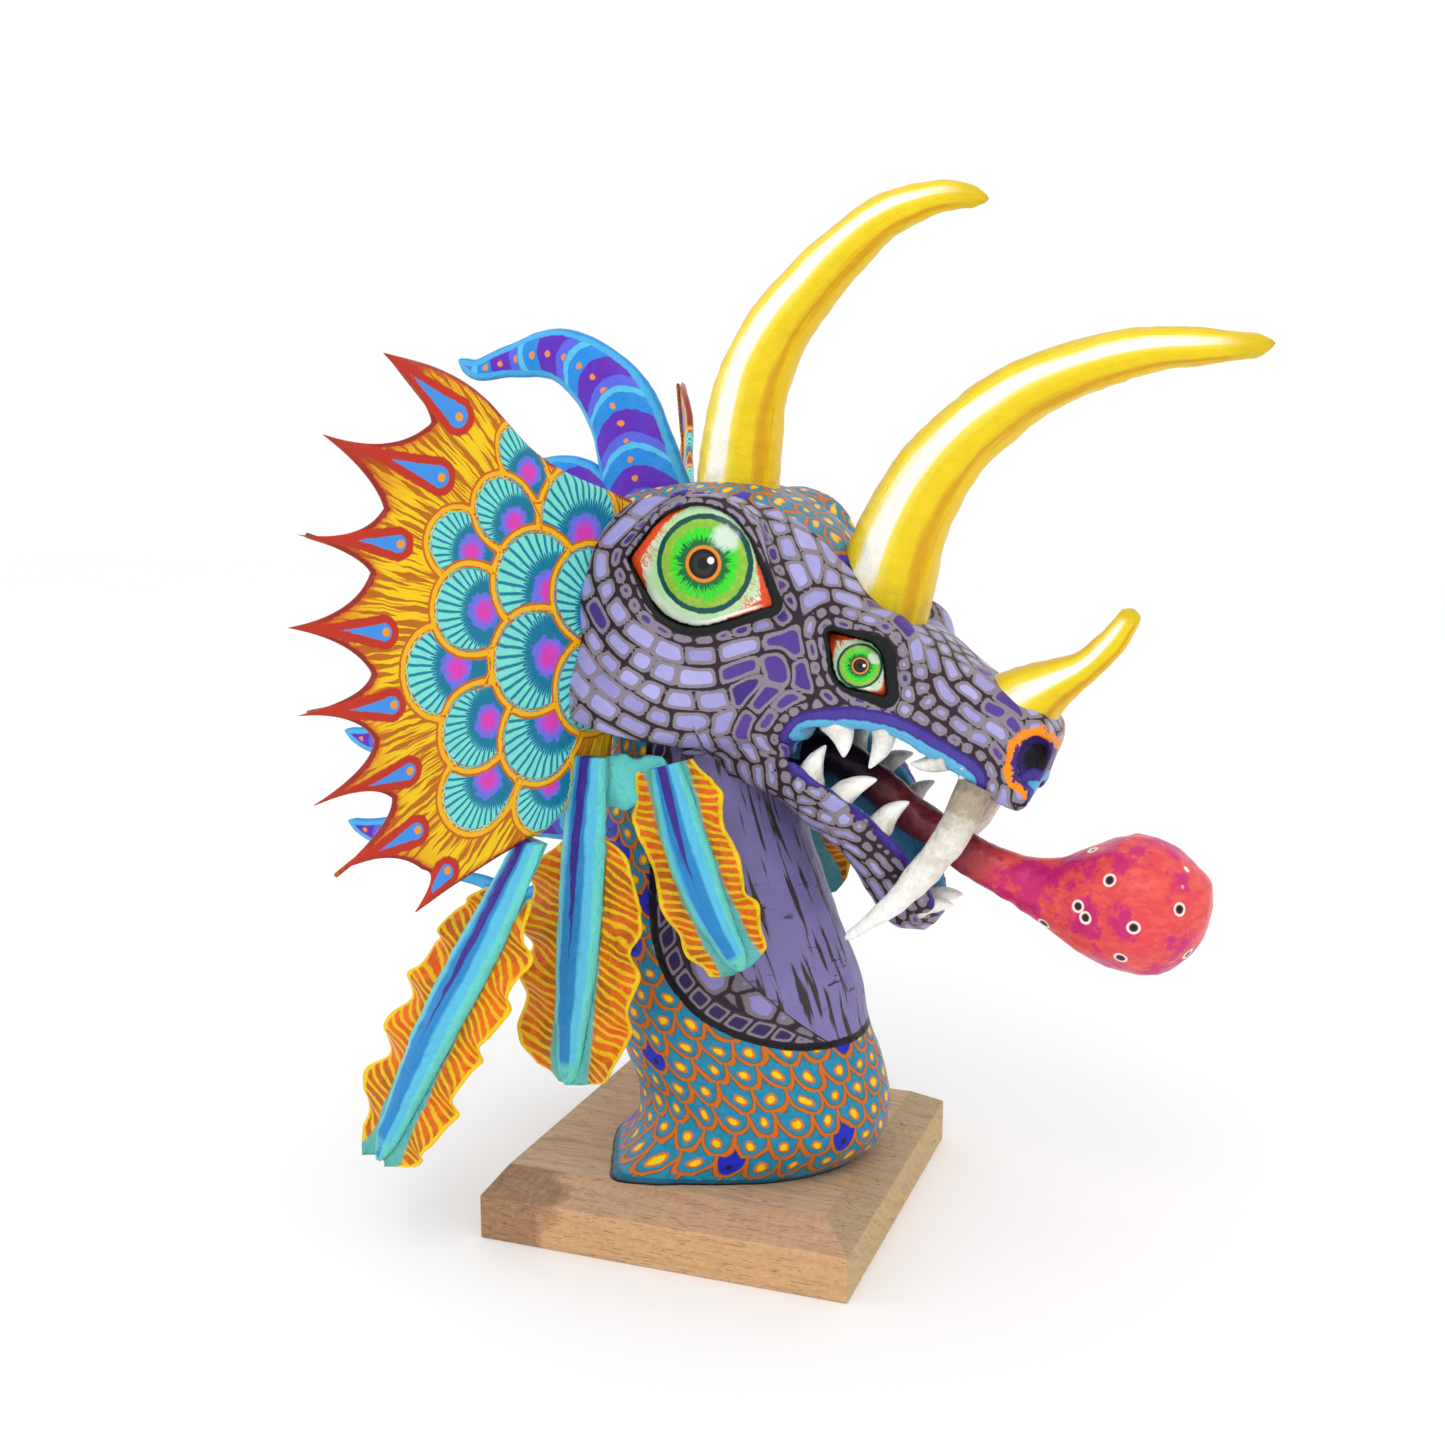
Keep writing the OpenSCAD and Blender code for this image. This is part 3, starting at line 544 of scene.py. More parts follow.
class Paint:
    """A procedural material under construction."""
    def __init__(self, name):
        self.mat = bpy.data.materials.new(name)
        self.mat.use_nodes = True
        self.tree = self.mat.node_tree
        self.bsdf = self.tree.nodes["Principled BSDF"]

    def node(self, kind, inputs, out=0, **props):
        node = self.tree.nodes.new(kind)
        for key, value in props.items():
            setattr(node, key, value)
        for key, value in inputs.items():
            plug(self.tree, node.inputs[key], value)
        return Num(self.tree, node.outputs[out])

    def num(self, name): return self.node("ShaderNodeAttribute", {}, "Fac", attribute_name=name)
    def vec(self, name): return self.node("ShaderNodeAttribute", {}, "Vector", attribute_name=name)

    def mix(self, f, a, b):
        return self.node("ShaderNodeMix", {0: f, 6: a, 7: b}, 2, data_type="RGBA")

    def layers(self, colour, *coats):
        """Coats of (mask, colour) painted one over the other."""
        for mask, coat in coats:
            colour = self.mix(mask, colour, coat)
        return colour

    def noise(self, at, size, detail=2.0, rough=0.5, w=None):
        """Noise around 0.5 with features of the given size."""
        inputs = {"Vector": at, "Scale": 1 / size, "Detail": detail, "Roughness": rough}
        if w is not None:
            inputs["W"] = w
        return self.node("ShaderNodeTexNoise", inputs, 0, noise_dimensions="3D" if w is None else "4D")

    def cells(self, at, w=0.0, feature="DISTANCE_TO_EDGE", jitter=1.0, out="Distance"):
        return self.node("ShaderNodeTexVoronoi", {"Vector": at, "W": w, "Scale": 1.0, "Randomness": jitter},
                         out,
                         voronoi_dimensions="4D", feature=feature)

    def spots(self, at, jitter=1.0):
        """Distance to the nearest of the points strewn one per unit cube."""
        return self.node("ShaderNodeTexVoronoi", {"Vector": at, "Scale": 1.0, "Randomness": jitter},
                         "Distance",
                         voronoi_dimensions="3D", feature="F1")

    def random(self, at, w=0.0):
        return self.node("ShaderNodeTexWhiteNoise", {"Vector": at, "W": w}, "Value", noise_dimensions="4D")

    def scale(self, v, k):
        return self.node("ShaderNodeVectorMath", {0: v, 3: k}, 0, operation="SCALE")

    def stretch(self, v, factors):
        return self.node("ShaderNodeVectorMath", {0: v, 1: factors}, 0, operation="MULTIPLY")

    def far(self, v, point):
        return self.node("ShaderNodeVectorMath", {0: v, 1: point}, "Value", operation="DISTANCE")

    def join(self, x=0.0, y=0.0, z=0.0):
        return self.node("ShaderNodeCombineXYZ", {0: x, 1: y, 2: z})

    def split(self, v):
        return [self.node("ShaderNodeSeparateXYZ", {0: v}, k) for k in range(3)]

    def mottle(self, colour, at, size=9, amount=0.35):
        """Uneven brush work: the colour goes a little darker and lighter over the surface."""
        n = self.noise(at, size, 4, 0.6).math("MULTIPLY_ADD", 2 * amount, 1 - amount)
        return self.scale(colour, n)

    def finish(self, colour, height=None, depth=0.3, rough=0.45, coat=0.0):
        """Connects the colour and the height (mm) of the paint and of the lumps under it."""
        plug(self.tree, self.bsdf.inputs["Base Color"], colour)
        plug(self.tree, self.bsdf.inputs["Roughness"], rough)
        self.bsdf.inputs["Specular IOR Level"].default_value = 0.2
        self.bsdf.inputs["Coat Weight"].default_value = coat * 0.4
        self.bsdf.inputs["Coat Roughness"].default_value = 0.12
        if height is not None:
            bump = self.node("ShaderNodeBump", {"Height": height, "Distance": depth * MM, "Strength": 1.0})
            plug(self.tree, self.bsdf.inputs["Normal"], bump)
        return self.mat

def pulp(p, at):
    """Fine unevenness of painted papier-mache."""
    return p.noise(at, 7, 3, 0.55) * 1.4 + p.noise(at, 1.6, 2) * 0.5

def scallops(p, u, v, wide, tall, at):
    """Overlapping scales with their round ends towards +v: distance to the outline, to the dot, an id."""
    u = u + (p.noise(at, 14, 1) - 0.5) * 7
    v = v + (p.noise(at, 17, 1, w=3.0) - 0.5) * 7
    row = (v / tall).floor()
    dv = v - row * tall
    half = (row * 0.5).fract() * wide
    col = ((u + half) / wide).floor()
    du = (u + half) - (col + 0.5) * wide
    q = (du * (2 / wide)).hypot(dv * (1 / tall))
    here = q.under(1.0, 0.001)
    edge = (q - 1).abs() * (0.5 * min(wide, 2 * tall))
    dot = du.hypot(dv - tall * 0.42)
    under_row = row + 1
    half2 = (under_row * 0.5).fract() * wide
    col2 = ((u + half2) / wide).floor()
    ident = p.join(p.node("ShaderNodeMix", {0: here, 2: col2, 3: col}), under_row - here, 0.0)
    dot = p.node("ShaderNodeMix", {0: here, 2: 20.0, 3: dot})
    return edge, dot, p.random(ident)

def scale_paint(p, u, v, at, wide=14.0, tall=11.0, line=1.0, dots=(0.19, 0.125)):
    """Teal scales with orange outlines and yellow dots, a few of them deep blue."""
    edge, dot, ident = scallops(p, u, v, wide, tall, at)
    fine = p.noise(at, 2.2, 2) - 0.5
    edge = edge + fine * 0.7
    dot = dot + fine * 1.2
    teal = p.mix(p.noise(at, 3, 3, 0.7).over(0.5, 0.5), TEAL_DARK, TEAL)
    blue = ident.under(0.11, 0.01)
    body = p.layers(teal,
                    (dot.under(wide * dots[0], 0.5) * (1 - blue), ORANGE),
                    (dot.under(wide * dots[1], 0.7) * (1 - blue), YELLOW),
                    (blue, DEEP_BLUE), (blue * dot.under(1.3, 0.8), NAVY),
                    (edge.under(line * 1.3, 0.5), rgb(96, 62, 24)), (edge.under(line * 0.95, 0.4),
                                                                     rgb(202, 108, 28)))
    return body, edge.under(1.1, 0.8) * 0.7 + dot.under(2.4, 1.2) * 0.8 * (1 - blue)

def cell_paint(p, at):
    """Rows of lavender cells with taupe borders and dark lines, deep violet near the eyes and lips."""
    rows = p.num("rows")
    part = rows.fract()
    tone = p.num("tone")
    fine = p.noise(at, 2.5, 2) - 0.5
    to_row = part.least(1 - part) * p.num("row_tall")
    d = to_row.math("SMOOTH_MIN", p.num("cut"), 3.6) + 0.55 + fine * 0.8
    width = p.noise(at, 26, 1, w=5.0).over(0.46, 0.22) * 0.9 + 0.42
    line = d.under(width, 0.3)
    border = d.under(width + 1.55 + fine * 1.4, 0.35)
    violet = p.num("violet").over(0.5, 0.2)
    pale = p.mix((tone * 7.3).fract(), LAVENDER, LAVENDER_PALE)
    deep = p.mix((tone * 5.1).fract(), VIOLET_DEEP, VIOLET_MID)
    colour = p.layers(p.mix(violet, pale, deep), (border, TAUPE), (line, LINE))
    return p.mottle(colour, at, 6, 0.14), line

def head_material():
    p = Paint("head_paint")
    at = p.vec("co")
    x, y, z = p.split(at)
    fine = p.noise(at, 3, 3) - 0.5
    cells, line = cell_paint(p, at)
    back = x.under(-38, 20)
    scales, bead = scale_paint(p, y * (0.42 + back * 0.4), (345 - z).most(0.0) * back - x, at, 8.5, 7.5, 0.42,
                               (0.2, 0.16))
    crown = (p.num("crown") + fine * 2).over(0.0, 0.6)
    colour = p.mix(crown, cells, scales)
    lid = p.num("eye_big") + fine * 1.6
    lid_small = p.num("eye_small") + fine * 1.4
    black = (lid.under(p.num("lid_width"), 0.5)).most(lid_small.under(p.num("lid_width_small"), 0.5))
    lip = p.num("lip") + fine * 1.3
    nose = p.num("nostril") + (p.noise(at, 4.5, 3, 0.7) - 0.5) * 0.8
    spot = p.far(p.join(x, y.abs() * -1, z), EYE_SPOT) + fine * 2
    inner = p.num("inner")
    wall = p.noise(at, 16, 4, 0.65)
    wet = p.layers(NAVY, (wall.over(0.5, 0.16), rgb(22, 66, 92)), (wall.over(0.62, 0.1), rgb(70, 128, 160)))
    inside = p.mix((inner + fine * 3).under(5.0, 2.0), wet, RIM_BLUE)
    colour = p.layers(colour,
                      (nose.under(1.32, 0.06), rgb(242, 142, 16)), (nose.under(1.02, 0.06), VIOLET_DEEP),
                      (nose.under(0.72, 0.2), rgb(14, 10, 18)),
                      (lip.under(6.6, 0.5), INDIGO), (lip.within(2.8, 5.6, 0.8) * wall, rgb(84, 74, 170)),
                      (lip.under(2.3, 0.6), RIM_BLUE),
                      (black, rgb(14, 20, 20)), (spot.under(3.4, 0.6), rgb(6, 54, 54)),
                      (p.num("inside").over(0.5, 0.3), inside))
    height = pulp(p, at) - line * 0.35 + crown * bead
    return p.finish(colour, height, 0.55, p.noise(at, 12, 2).math("MULTIPLY_ADD", 0.25, 0.3), 0.15)

# ------------------------------------------------------------------ neck
NECK = np.array([
    (24.3, -58, 67, 51, 14), (38, -45, 80, 52, 10), (54, -42, 83, 52, 8), (74, -51, 78, 51, 6),
    (96, -61, 70, 50, 4), (118, -66, 65, 48, 2), (148, -69, 54, 47, 0), (176, -69, 42, 48, 0),
    (204, -67, 33, 51, 0), (226, -62, 28, 55, 0), (244, -56, 24, 58, 0)], float)
# Lower edge of the lavender bib: angle from the front (degrees), height.
BIB = np.array([(0, 93), (12, 91), (30, 91), (51, 91.5), (68, 95), (83, 101), (94, 110.6), (101, 124),
                (103, 140), (101, 157), (98, 174), (94, 200), (90, 260)], float)

def build_neck(material):
    rows, cols = 230, 400
    R, _ = spline(NECK, rows)
    a = np.linspace(0, 2 * np.pi, cols, endpoint=False)
    mid, half = (R[:, 1] + R[:, 2]) / 2, (R[:, 2] - R[:, 1]) / 2
    X = half[:, None] * np.cos(a)
    Y = R[:, 3][:, None] * np.sin(a)
    turn = np.radians(R[:, 4])[:, None]
    Z = np.repeat(R[:, 0][:, None], cols, 1)
    # The foot is drawn out to a flat corner at the back right.
    lobe = np.exp(-(np.abs((np.degrees(a) - 233) / 19) ** 1.5)) * np.clip((60 - R[:, 0]) / 36, 0,
                                                                          1)[:, None] ** 1.8
    V = np.stack([mid[:, None] + X * np.cos(turn) - Y * np.sin(turn), X * np.sin(turn) + Y * np.cos(turn), Z],
                 -1)
    out = unit(np.stack([np.cos(a), np.sin(a), 0 * a], -1))[None]
    V = V + out * (lobe * 19)[..., None]
    V = V + out * (1.5 * lumps(V, 30, 11) + 0.5 * lumps(V, 9, 12))[..., None]
    V[0, :, 2] = NECK[0, 0]
    deg = np.degrees(np.minimum(a, 2 * np.pi - a))
    line, _ = spline(np.stack([BIB[:, 0] * 0.93, BIB[:, 1]], 1), 90)
    line = np.concatenate([[(-60, line[0, 1])], line, [(line[-1, 0], 330), (-60, 330)]])
    bib = polygon_distance(np.stack([np.repeat(deg[None] * 0.93, rows, 0), Z], -1).reshape(-1, 2),
                           line).reshape(Z.shape)
    down = 260 - Z
    around = np.repeat((a * 56)[None], rows, 0)
    obj = add_mesh("neck_shell", V.reshape(-1, 3), grid_faces(rows, cols, True), {
        "bib": bib.ravel(), "u": around.ravel(), "v": down.ravel(),
        "front": np.repeat(deg[None], rows, 0).ravel()})
    piece(obj, "neck", material)

def neck_material():
    p = Paint("neck_paint")
    at = p.vec("co")
    u, v, bib = p.num("u"), p.num("v"), p.num("bib")
    fine = p.noise(at, 3, 3) - 0.5
    scales, bead = scale_paint(p, u, v, at, line=0.8)
    # Bib: lavender with long dark strokes, a few of them crossed.
    stroke = p.noise(p.join(u / 4.0, v / 40, 0.0), 1.0, 3, 0.5)
    lap = p.noise(p.join(u / 12, v / 2.6, 2.0), 1.0, 2, 0.5)
    patch = p.noise(at, 30, 1)
    strokes = stroke.over(0.585, 0.03)
    cross = lap.over(0.64, 0.03) * patch.over(0.52, 0.1) * v.over(95, 20)
    body = p.layers(p.mottle(rgb(126, 117, 170), at, 14, 0.2), (stroke.over(0.56, 0.05) * 0.8,
                                                                rgb(104, 98, 110)),
                    (strokes, rgb(58, 52, 56)), (cross, rgb(58, 50, 56)))
    # Its border: a black line, dark violet blocks, a second line, then large pale cells at the foot.
    front = p.num("front")
    inner = ((front - 37) * 0.5).most(0.0).least(11.0)
    outer = ((front - 35) * 0.9).most(0.0).least(36.0)
    along = (front * 0.93 - v) / 11.5
    block = along.fract().least(1 - along.fract()) * 9.5
    block = block.math("SMOOTH_MIN", (bib - 1.8).abs().least((inner - bib).abs()), 2.2) + 0.4 + fine
    blocks = p.layers(rgb(50, 38, 86), (block.under(2.2, 0.5), rgb(134, 124, 134)),
                      (block.under(1.05, 0.35), LINE))
    big = p.cells(p.scale(at, 1 / 19), 0.0) * 19
    big = big.math("SMOOTH_MIN", (bib - inner).abs().least((outer - bib).abs()), 2.5) + 0.4 + fine
    large = p.layers(rgb(146, 136, 198), (big.under(2.9, 0.6), rgb(122, 114, 122)),
                     (big.under(1.25, 0.4), LINE))
    low = v.over(60, 20)
    colour = p.layers(scales, (bib.over(0.0, 0.4), body),
                      (bib.under(outer, 0.4) * bib.over(inner, 0.4) * low, large),
                      (bib.over(0.0, 0.3) * bib.under(inner, 0.4), blocks),
                      ((bib + fine).within(-1.4, 2.0, 0.5), rgb(20, 14, 22)))
    z = p.split(at)[2]
    colour = p.layers(colour, (z.under(27.5, 1.0), rgb(20, 96, 124)), (z.under(25.3, 0.6), rgb(24, 18, 22)))
    height = pulp(p, at) + bead * bib.under(0, 0.5)
    return p.finish(colour, height, 0.6, 0.4, 0.12)

# ------------------------------------------------------------------ eyes
def build_eye(name, node, e, side, material):
    rings, spokes = 70, 120
    pa, qa, n = eye_frame(e)
    phi = np.linspace(0, 2 * np.pi, spokes, endpoint=False)
    lo_r, hi_r = np.zeros(spokes), np.full(spokes, e["front"] + 6.0)
    for _ in range(40):
        r = (lo_r + hi_r) / 2
        q = np.array(e["centre"]) + (r * np.cos(phi))[:, None] * pa + (r * np.sin(phi))[:, None] * qa
        inside = lids(q, e)[0] < 1.3
        lo_r, hi_r = np.where(inside, r, lo_r), np.where(inside, hi_r, r)
    rho = np.linspace(0, 1, rings)[:, None] * lo_r
    a, b = rho * np.cos(phi), rho * np.sin(phi)
    base = np.array(e["centre"]) + a[..., None] * pa + b[..., None] * qa
    v = base - np.array(e["ball"], float)
    vn = v @ n
    lift = -vn + np.sqrt(np.maximum(vn ** 2 - (v ** 2).sum(-1) + e["radius"] ** 2, 0))
    V = base + lift[..., None] * n
    V = V + 0.12 * lumps(V, 6, 5)[..., None] * n
    d = lids(V, e)[0]
    iris = np.array(e["iris"], float) - np.array(e["centre"], float)
    a, b = a - iris @ pa, b - iris @ qa
    V, faces = on_side(side, V, grid_faces(rings, spokes, True))
    obj = add_mesh(name, V.reshape(-1, 3), faces, {"a": a.ravel(), "b": b.ravel(), "lid": d.ravel()})
    piece(obj, node, material)

def eye_material(name, e):
    """Green iris with a rayed collar round the pupil, and a bloodshot white; a reflection and a highlight are
    painted on the iris and the pupil.
    """
    p = Paint(name)
    iris, length = e["iris_r"], e["front"]
    at = p.vec("co")
    a, b, lid = p.num("a"), p.num("b"), p.num("lid")
    k = iris / 23.5
    fine = p.noise(at, 2.4 * k + 0.8, 3) - 0.5
    r = a.hypot(b) / k
    ang = b.math("ARCTAN2", a)
    ring = p.join(ang.sin(), (ang + 1.5708).sin(), 0.0)
    jag = p.noise(p.scale(ring, 9.0), 1.0, 3, 0.7)
    teeth = p.noise(p.scale(ring, 16.0), 1.0, 2, 0.6)
    out = (a / length).abs()
    veins = p.noise(p.join((a + b * 0.5) / 9, (b - a * 0.15) / 3.4, 0.0), 1.0, 4, 0.7)
    vein = ((veins - 0.5).abs() + (out.under(0.55, 0.3)) * 0.05).under(0.03, 0.016)
    corner = (out - 0.45).clamp() * (13 * k + 3) * (1.2 - a.over(0.0, 6) * 0.3)
    white = p.layers(rgb(236, 240, 230), (p.noise(at, 9, 2).over(0.5, 0.2) * 0.7, rgb(188, 226, 178)),
                     (r.under(29, 5) * 0.55, rgb(150, 214, 130)),
                     ((lid + fine * 4.5 * k + corner).over(0.0, 1.0) * out.over(0.42, 0.2), rgb(228, 74, 26)),
                     (vein * out.over(0.34, 0.2), rgb(232, 90, 40)),
                     ((lid + fine).within(-2.6, -1.2, 0.5) * b.over(6 * k, 3) * a.over(4, 6),
                      rgb(246, 248, 240)))
    petals = (r + (jag - 0.5) * 11).under(17.2, 0.8)
    rays = (r + (teeth - 0.5) * 15).under(12.6, 0.6)
    green = p.layers(rgb(134, 186, 58), (p.noise(at, 3 * k + 0.5, 2).over(0.55, 0.1) * 0.7,
                                         rgb(168, 196, 70)),
                     (petals, rgb(56, 218, 40)), (petals * teeth.over(0.6, 0.1) * 0.6, rgb(30, 176, 50)),
                     (rays, rgb(14, 104, 52)))
    # Painted reflection: a grey-white patch on the iris above the pupil.
    reflection_place = p.join((a / k - 4) / 6.5, (b / k + 16) / 5.0, 0.0)
    painted_reflection = p.far(reflection_place, (0.0, 0.0, 0.0)) + (p.noise(at, 3 * k + 0.6, 3) - 0.5) * 1.2
    pupil = p.layers(rgb(12, 12, 14), ((r + fine).within(3.0, 5.4, 1.5) * 0.35, rgb(70, 70, 76)))
    iris_coats = p.layers(green, ((r + fine * 1.5).over(21.6, 0.5), rgb(8, 78, 74)),
                          (painted_reflection.under(1.05, 0.6) * 0.9, rgb(214, 228, 220)),
                          (r.under(9.0, 0.5), rgb(236, 132, 24)), (r.under(7.3, 0.4), pupil),
                          # Painted highlight: a white dot in the upper part of the pupil.
                          (p.far(p.join(a / k, b / k, 0.0), (2.6, -3.2, 0.0)).under(1.7, 0.4),
                           rgb(255, 255, 255)))
    colour = p.layers(white, ((r + fine * 1.2).under(24.4, 0.5), iris_coats),
                      ((lid + fine * 1.5).over(-0.6, 0.6), rgb(16, 26, 20)))
    return p.finish(colour, p.noise(at, 4, 3), 0.12, 0.18, 0.5)

# ------------------------------------------------------------------ horns, spines, tongue, tusks, teeth
def sweep(path, radii, around, side=(0, 1, 0), seed=1, rough=0.4):
    """Closed tube along a path, with radii (rows, 2) towards the given side and up."""
    C, n = np.asarray(path, float), len(path)
    h = unit(np.gradient(C, axis=0))
    w = unit(np.asarray(side, float) - h * (h @ np.asarray(side, float))[:, None])
    u = np.cross(h, w)
    th = np.linspace(0, 2 * np.pi, around, endpoint=False)
    V = (C[:, None] + w[:, None] * (radii[:, 0, None] * np.cos(th))[..., None]
         + u[:, None] * (radii[:, 1, None] * np.sin(th))[..., None])
    out = unit(V - C[:, None])
    amount = rough * np.minimum(1, radii.min(1) / 6)[:, None]
    V = V + out * (amount * (lumps(V, 13, seed) + 0.5 * lumps(V, 4.5, seed + 1)))[..., None]
    s = np.concatenate([[0], np.cumsum(np.linalg.norm(np.diff(C, axis=0), axis=1))])
    S = np.repeat(s[:, None], around, 1)
    T = np.repeat(th[None], n, 0)
    flat = {"s": S.ravel(), "t": (S / s[-1]).ravel(), "side": np.cos(T).ravel(), "up": np.sin(T).ravel()}
    verts = np.concatenate([V.reshape(-1, 3), C[:1] - h[:1] * 0.2, C[-1:] + h[-1:] * radii[-1].mean() * 0.6])
    flat = {k: np.concatenate([v, v[:1], v[-1:]]) for k, v in flat.items()}
    ends, last = n * around, (n - 1) * around
    faces = [tuple(q) for q in grid_faces(n, around, True)]
    faces += [(ends, (j + 1) % around, j) for j in range(around)]
    faces += [(last + j, last + (j + 1) % around, ends + 1) for j in range(around)]
    return verts, faces, flat

def solid(name, parts, node, material, side=RIGHT):
    """One object of one or more sweeps, mirrored for the left side."""
    verts, faces, attrs, at = [], [], {}, 0
    for v, f, flat in parts:
        verts.append(v * np.array([1, side, 1]))
        faces += [tuple(int(i) + at for i in (q if side == RIGHT else q[::-1])) for q in f]
        for key, value in flat.items():
            attrs.setdefault(key, []).append(value)
        at += len(v)
    obj = add_mesh(name, np.concatenate(verts), faces, {k: np.concatenate(v) for k, v in attrs.items()})
    return piece(obj, node, material)

HORNS = {
    "horn_crown": [(4, 340, 20), (10, 389, 17.6), (23, 420, 15.2), (47, 448, 12.6), (72, 469, 9.8),
                   (99, 478, 6.6), (121, 476, 3.2)],
    "horn_brow": [(74, 294, 23.5), (87, 336, 19.5), (106, 366, 16.5), (131, 388, 14.5), (159, 402, 12),
                  (192, 410, 9.6), (230, 411, 5.5), (243, 412, 3)],
    "horn_nose": [(138, 250, 20), (147, 258, 15.5), (156.5, 264.5, 11), (169, 272, 7.2), (179, 282, 6.2),
                  (187, 293, 4.8),
                  (190, 299, 3.6)]}
SPINES = {
    1: [(-40, 342, 23), (-51, 380, 19), (-64, 400, 16.5), (-86, 413, 12.5), (-112, 411, 8), (-131, 407, 5),
        (-142, 412, 2)],
    2: [(-58, 316, 20), (-74, 343, 18), (-92, 351, 13.5), (-144, 342, 6), (-166, 344, 2)],
    3: [(-64, 280, 17), (-100, 297, 15), (-126, 306, 11.2), (-178, 297, 5.1), (-200, 299, 2)],
    4: [(-60, 230, 15), (-103, 237, 14), (-136, 236, 12), (-190, 218, 8.5), (-216, 221, 2)],
    5: [(-58, 184, 13), (-101, 186, 13), (-134, 180, 11), (-190, 168, 8), (-216, 172, 2)],
    6: [(-56, 142, 11), (-89, 143.5, 9), (-112, 137, 7.3), (-136, 146, 3.3), (-158, 148, 2)]}
TONGUE = [(40, 226, 9), (58, 223, 9), (74, 213, 8.5), (92, 200, 8.5), (115, 186, 9), (138, 174, 10.5),
          (158, 168, 16),
          (176, 166, 25), (196, 166, 31), (213, 167, 27), (225, 168, 15), (229.5, 168, 6)]
TUSK = [(128, -27, 221, 8.2), (116, -33, 194, 7.4), (95, -36, 168, 5.6), (71, -37, 147, 1.5)]
TEETH_UPPER = [((66.2, -42, 249.5), (70.5, -42, 232.7), 12), ((87.3, -35.4, 247.3), (80.7, -35.4, 227.2), 11),
               ((114, -29.3, 233), (98.5, -29.3, 229.2), 9), ((122, -29, 230), (121.5, -29, 221), 7)]
TEETH_LOWER = [((53.5, -38.5, 218.3), (61.1, -38.5, 236.6), 10.5), ((66.1, -34.5, 211.9),
                                                                    (83.8, -34.5, 221.8), 10),
               ((83, -25.4, 197.7), (96.7, -25.4, 210.6), 10.5), ((95, -18, 172), (107, -18, 180), 8.5),
               ((99, -9, 156), (115, -10, 160), 8.5)]

def midplane(rows, steps, flat=1.0):
    """Path in the figure's middle plane and its radii; flat is the thickness over the height."""
    Q, _ = spline(rows, steps)
    path = np.stack([Q[:, 0], 0 * Q[:, 0], Q[:, 1]], 1)
    return path, np.stack([Q[:, 2] * flat, Q[:, 2]], 1)

def round_tip(radii, power=0.5, share=0.03):
    """Radii that close over the last share of the length."""
    t = np.linspace(0, 1, len(radii))
    return radii * (np.clip((1 - t) / share, 0, 1) ** power)[:, None] + 0.3

def build_horns(material):
    for i, (node, rows) in enumerate(HORNS.items()):
        path, radii = midplane(rows, 220)
        v, f, flat = sweep(path, round_tip(radii), 96, seed=20 + i, rough=0.7)
        solid(node + "_skin", [(v, f, flat)], node, material)

SPINE_FLAT = 0.42          # thickness of a spine over its height

def build_spines(material):
    around = 72
    for i, rows in SPINES.items():
        path, radii = midplane(rows, 180, SPINE_FLAT)
        v, f, flat = sweep(path, round_tip(radii), around, seed=30 + i, rough=0.6)
        flat["wide"] = np.concatenate([np.repeat(radii[:, 1], around), radii[:1, 1], radii[-1:, 1]])
        solid("crest_spine_%d_skin" % i, [(v, f, flat)], "crest_spine_%d" % i, material)

def build_tongue(material):
    path, radii = midplane(TONGUE, 260)
    v, f, flat = sweep(path, round_tip(radii, 0.5, 0.015), 120, seed=40, rough=0.9)
    solid("tongue_skin", [(v, f, flat)], "tongue", material)

def build_tusks(material):
    for side, word in SIDES.items():
        Q, _ = spline(TUSK, 150)
        radii = round_tip(np.repeat(Q[:, 3:], 2, 1) * (1 + 0.05 * lumps(Q[:, :3], 12, 3))[:, None])
        part = sweep(Q[:, :3], radii, 48, seed=50, rough=0.8)
        solid("tusk_%s_pulp" % word, [part], "tusk_" + word, material, side)

def fang(root, tip, d, seed):
    """A tooth with a lumpy root, bent a little and blunt at the tip."""
    root, tip = np.array(root, float), np.array(tip, float)
    t = np.linspace(-0.22, 1, 46)
    bend = unit(np.cross(tip - root, (0, 1, 0))) * 0.09 * np.linalg.norm(tip - root)
    path = root + (tip - root) * t[:, None] + bend * (np.sin(np.pi * np.clip(t, 0, 1)))[:, None]
    r = d * 0.56 * (1 - np.clip(t, 0, 1) ** 1.7) ** 0.85 * (1 + 0.1 * np.exp(-((t - 0.06) / 0.16) ** 2)) + 0.6
    r = r * np.clip(1 + t * 2.4, 0.45, 1)
    return sweep(path, np.stack([r, r * 0.92], 1), 36, seed=seed, rough=0.8)

def build_teeth(material):
    for side, word in SIDES.items():
        for row, table in (("upper", TEETH_UPPER), ("lower", TEETH_LOWER)):
            parts = [fang(*tooth, seed=60 + 3 * i) for i, tooth in enumerate(table)]
            solid("teeth_%s_%s_pulp" % (row, word), parts, "teeth_%s_%s" % (row, word),
                  material, side)

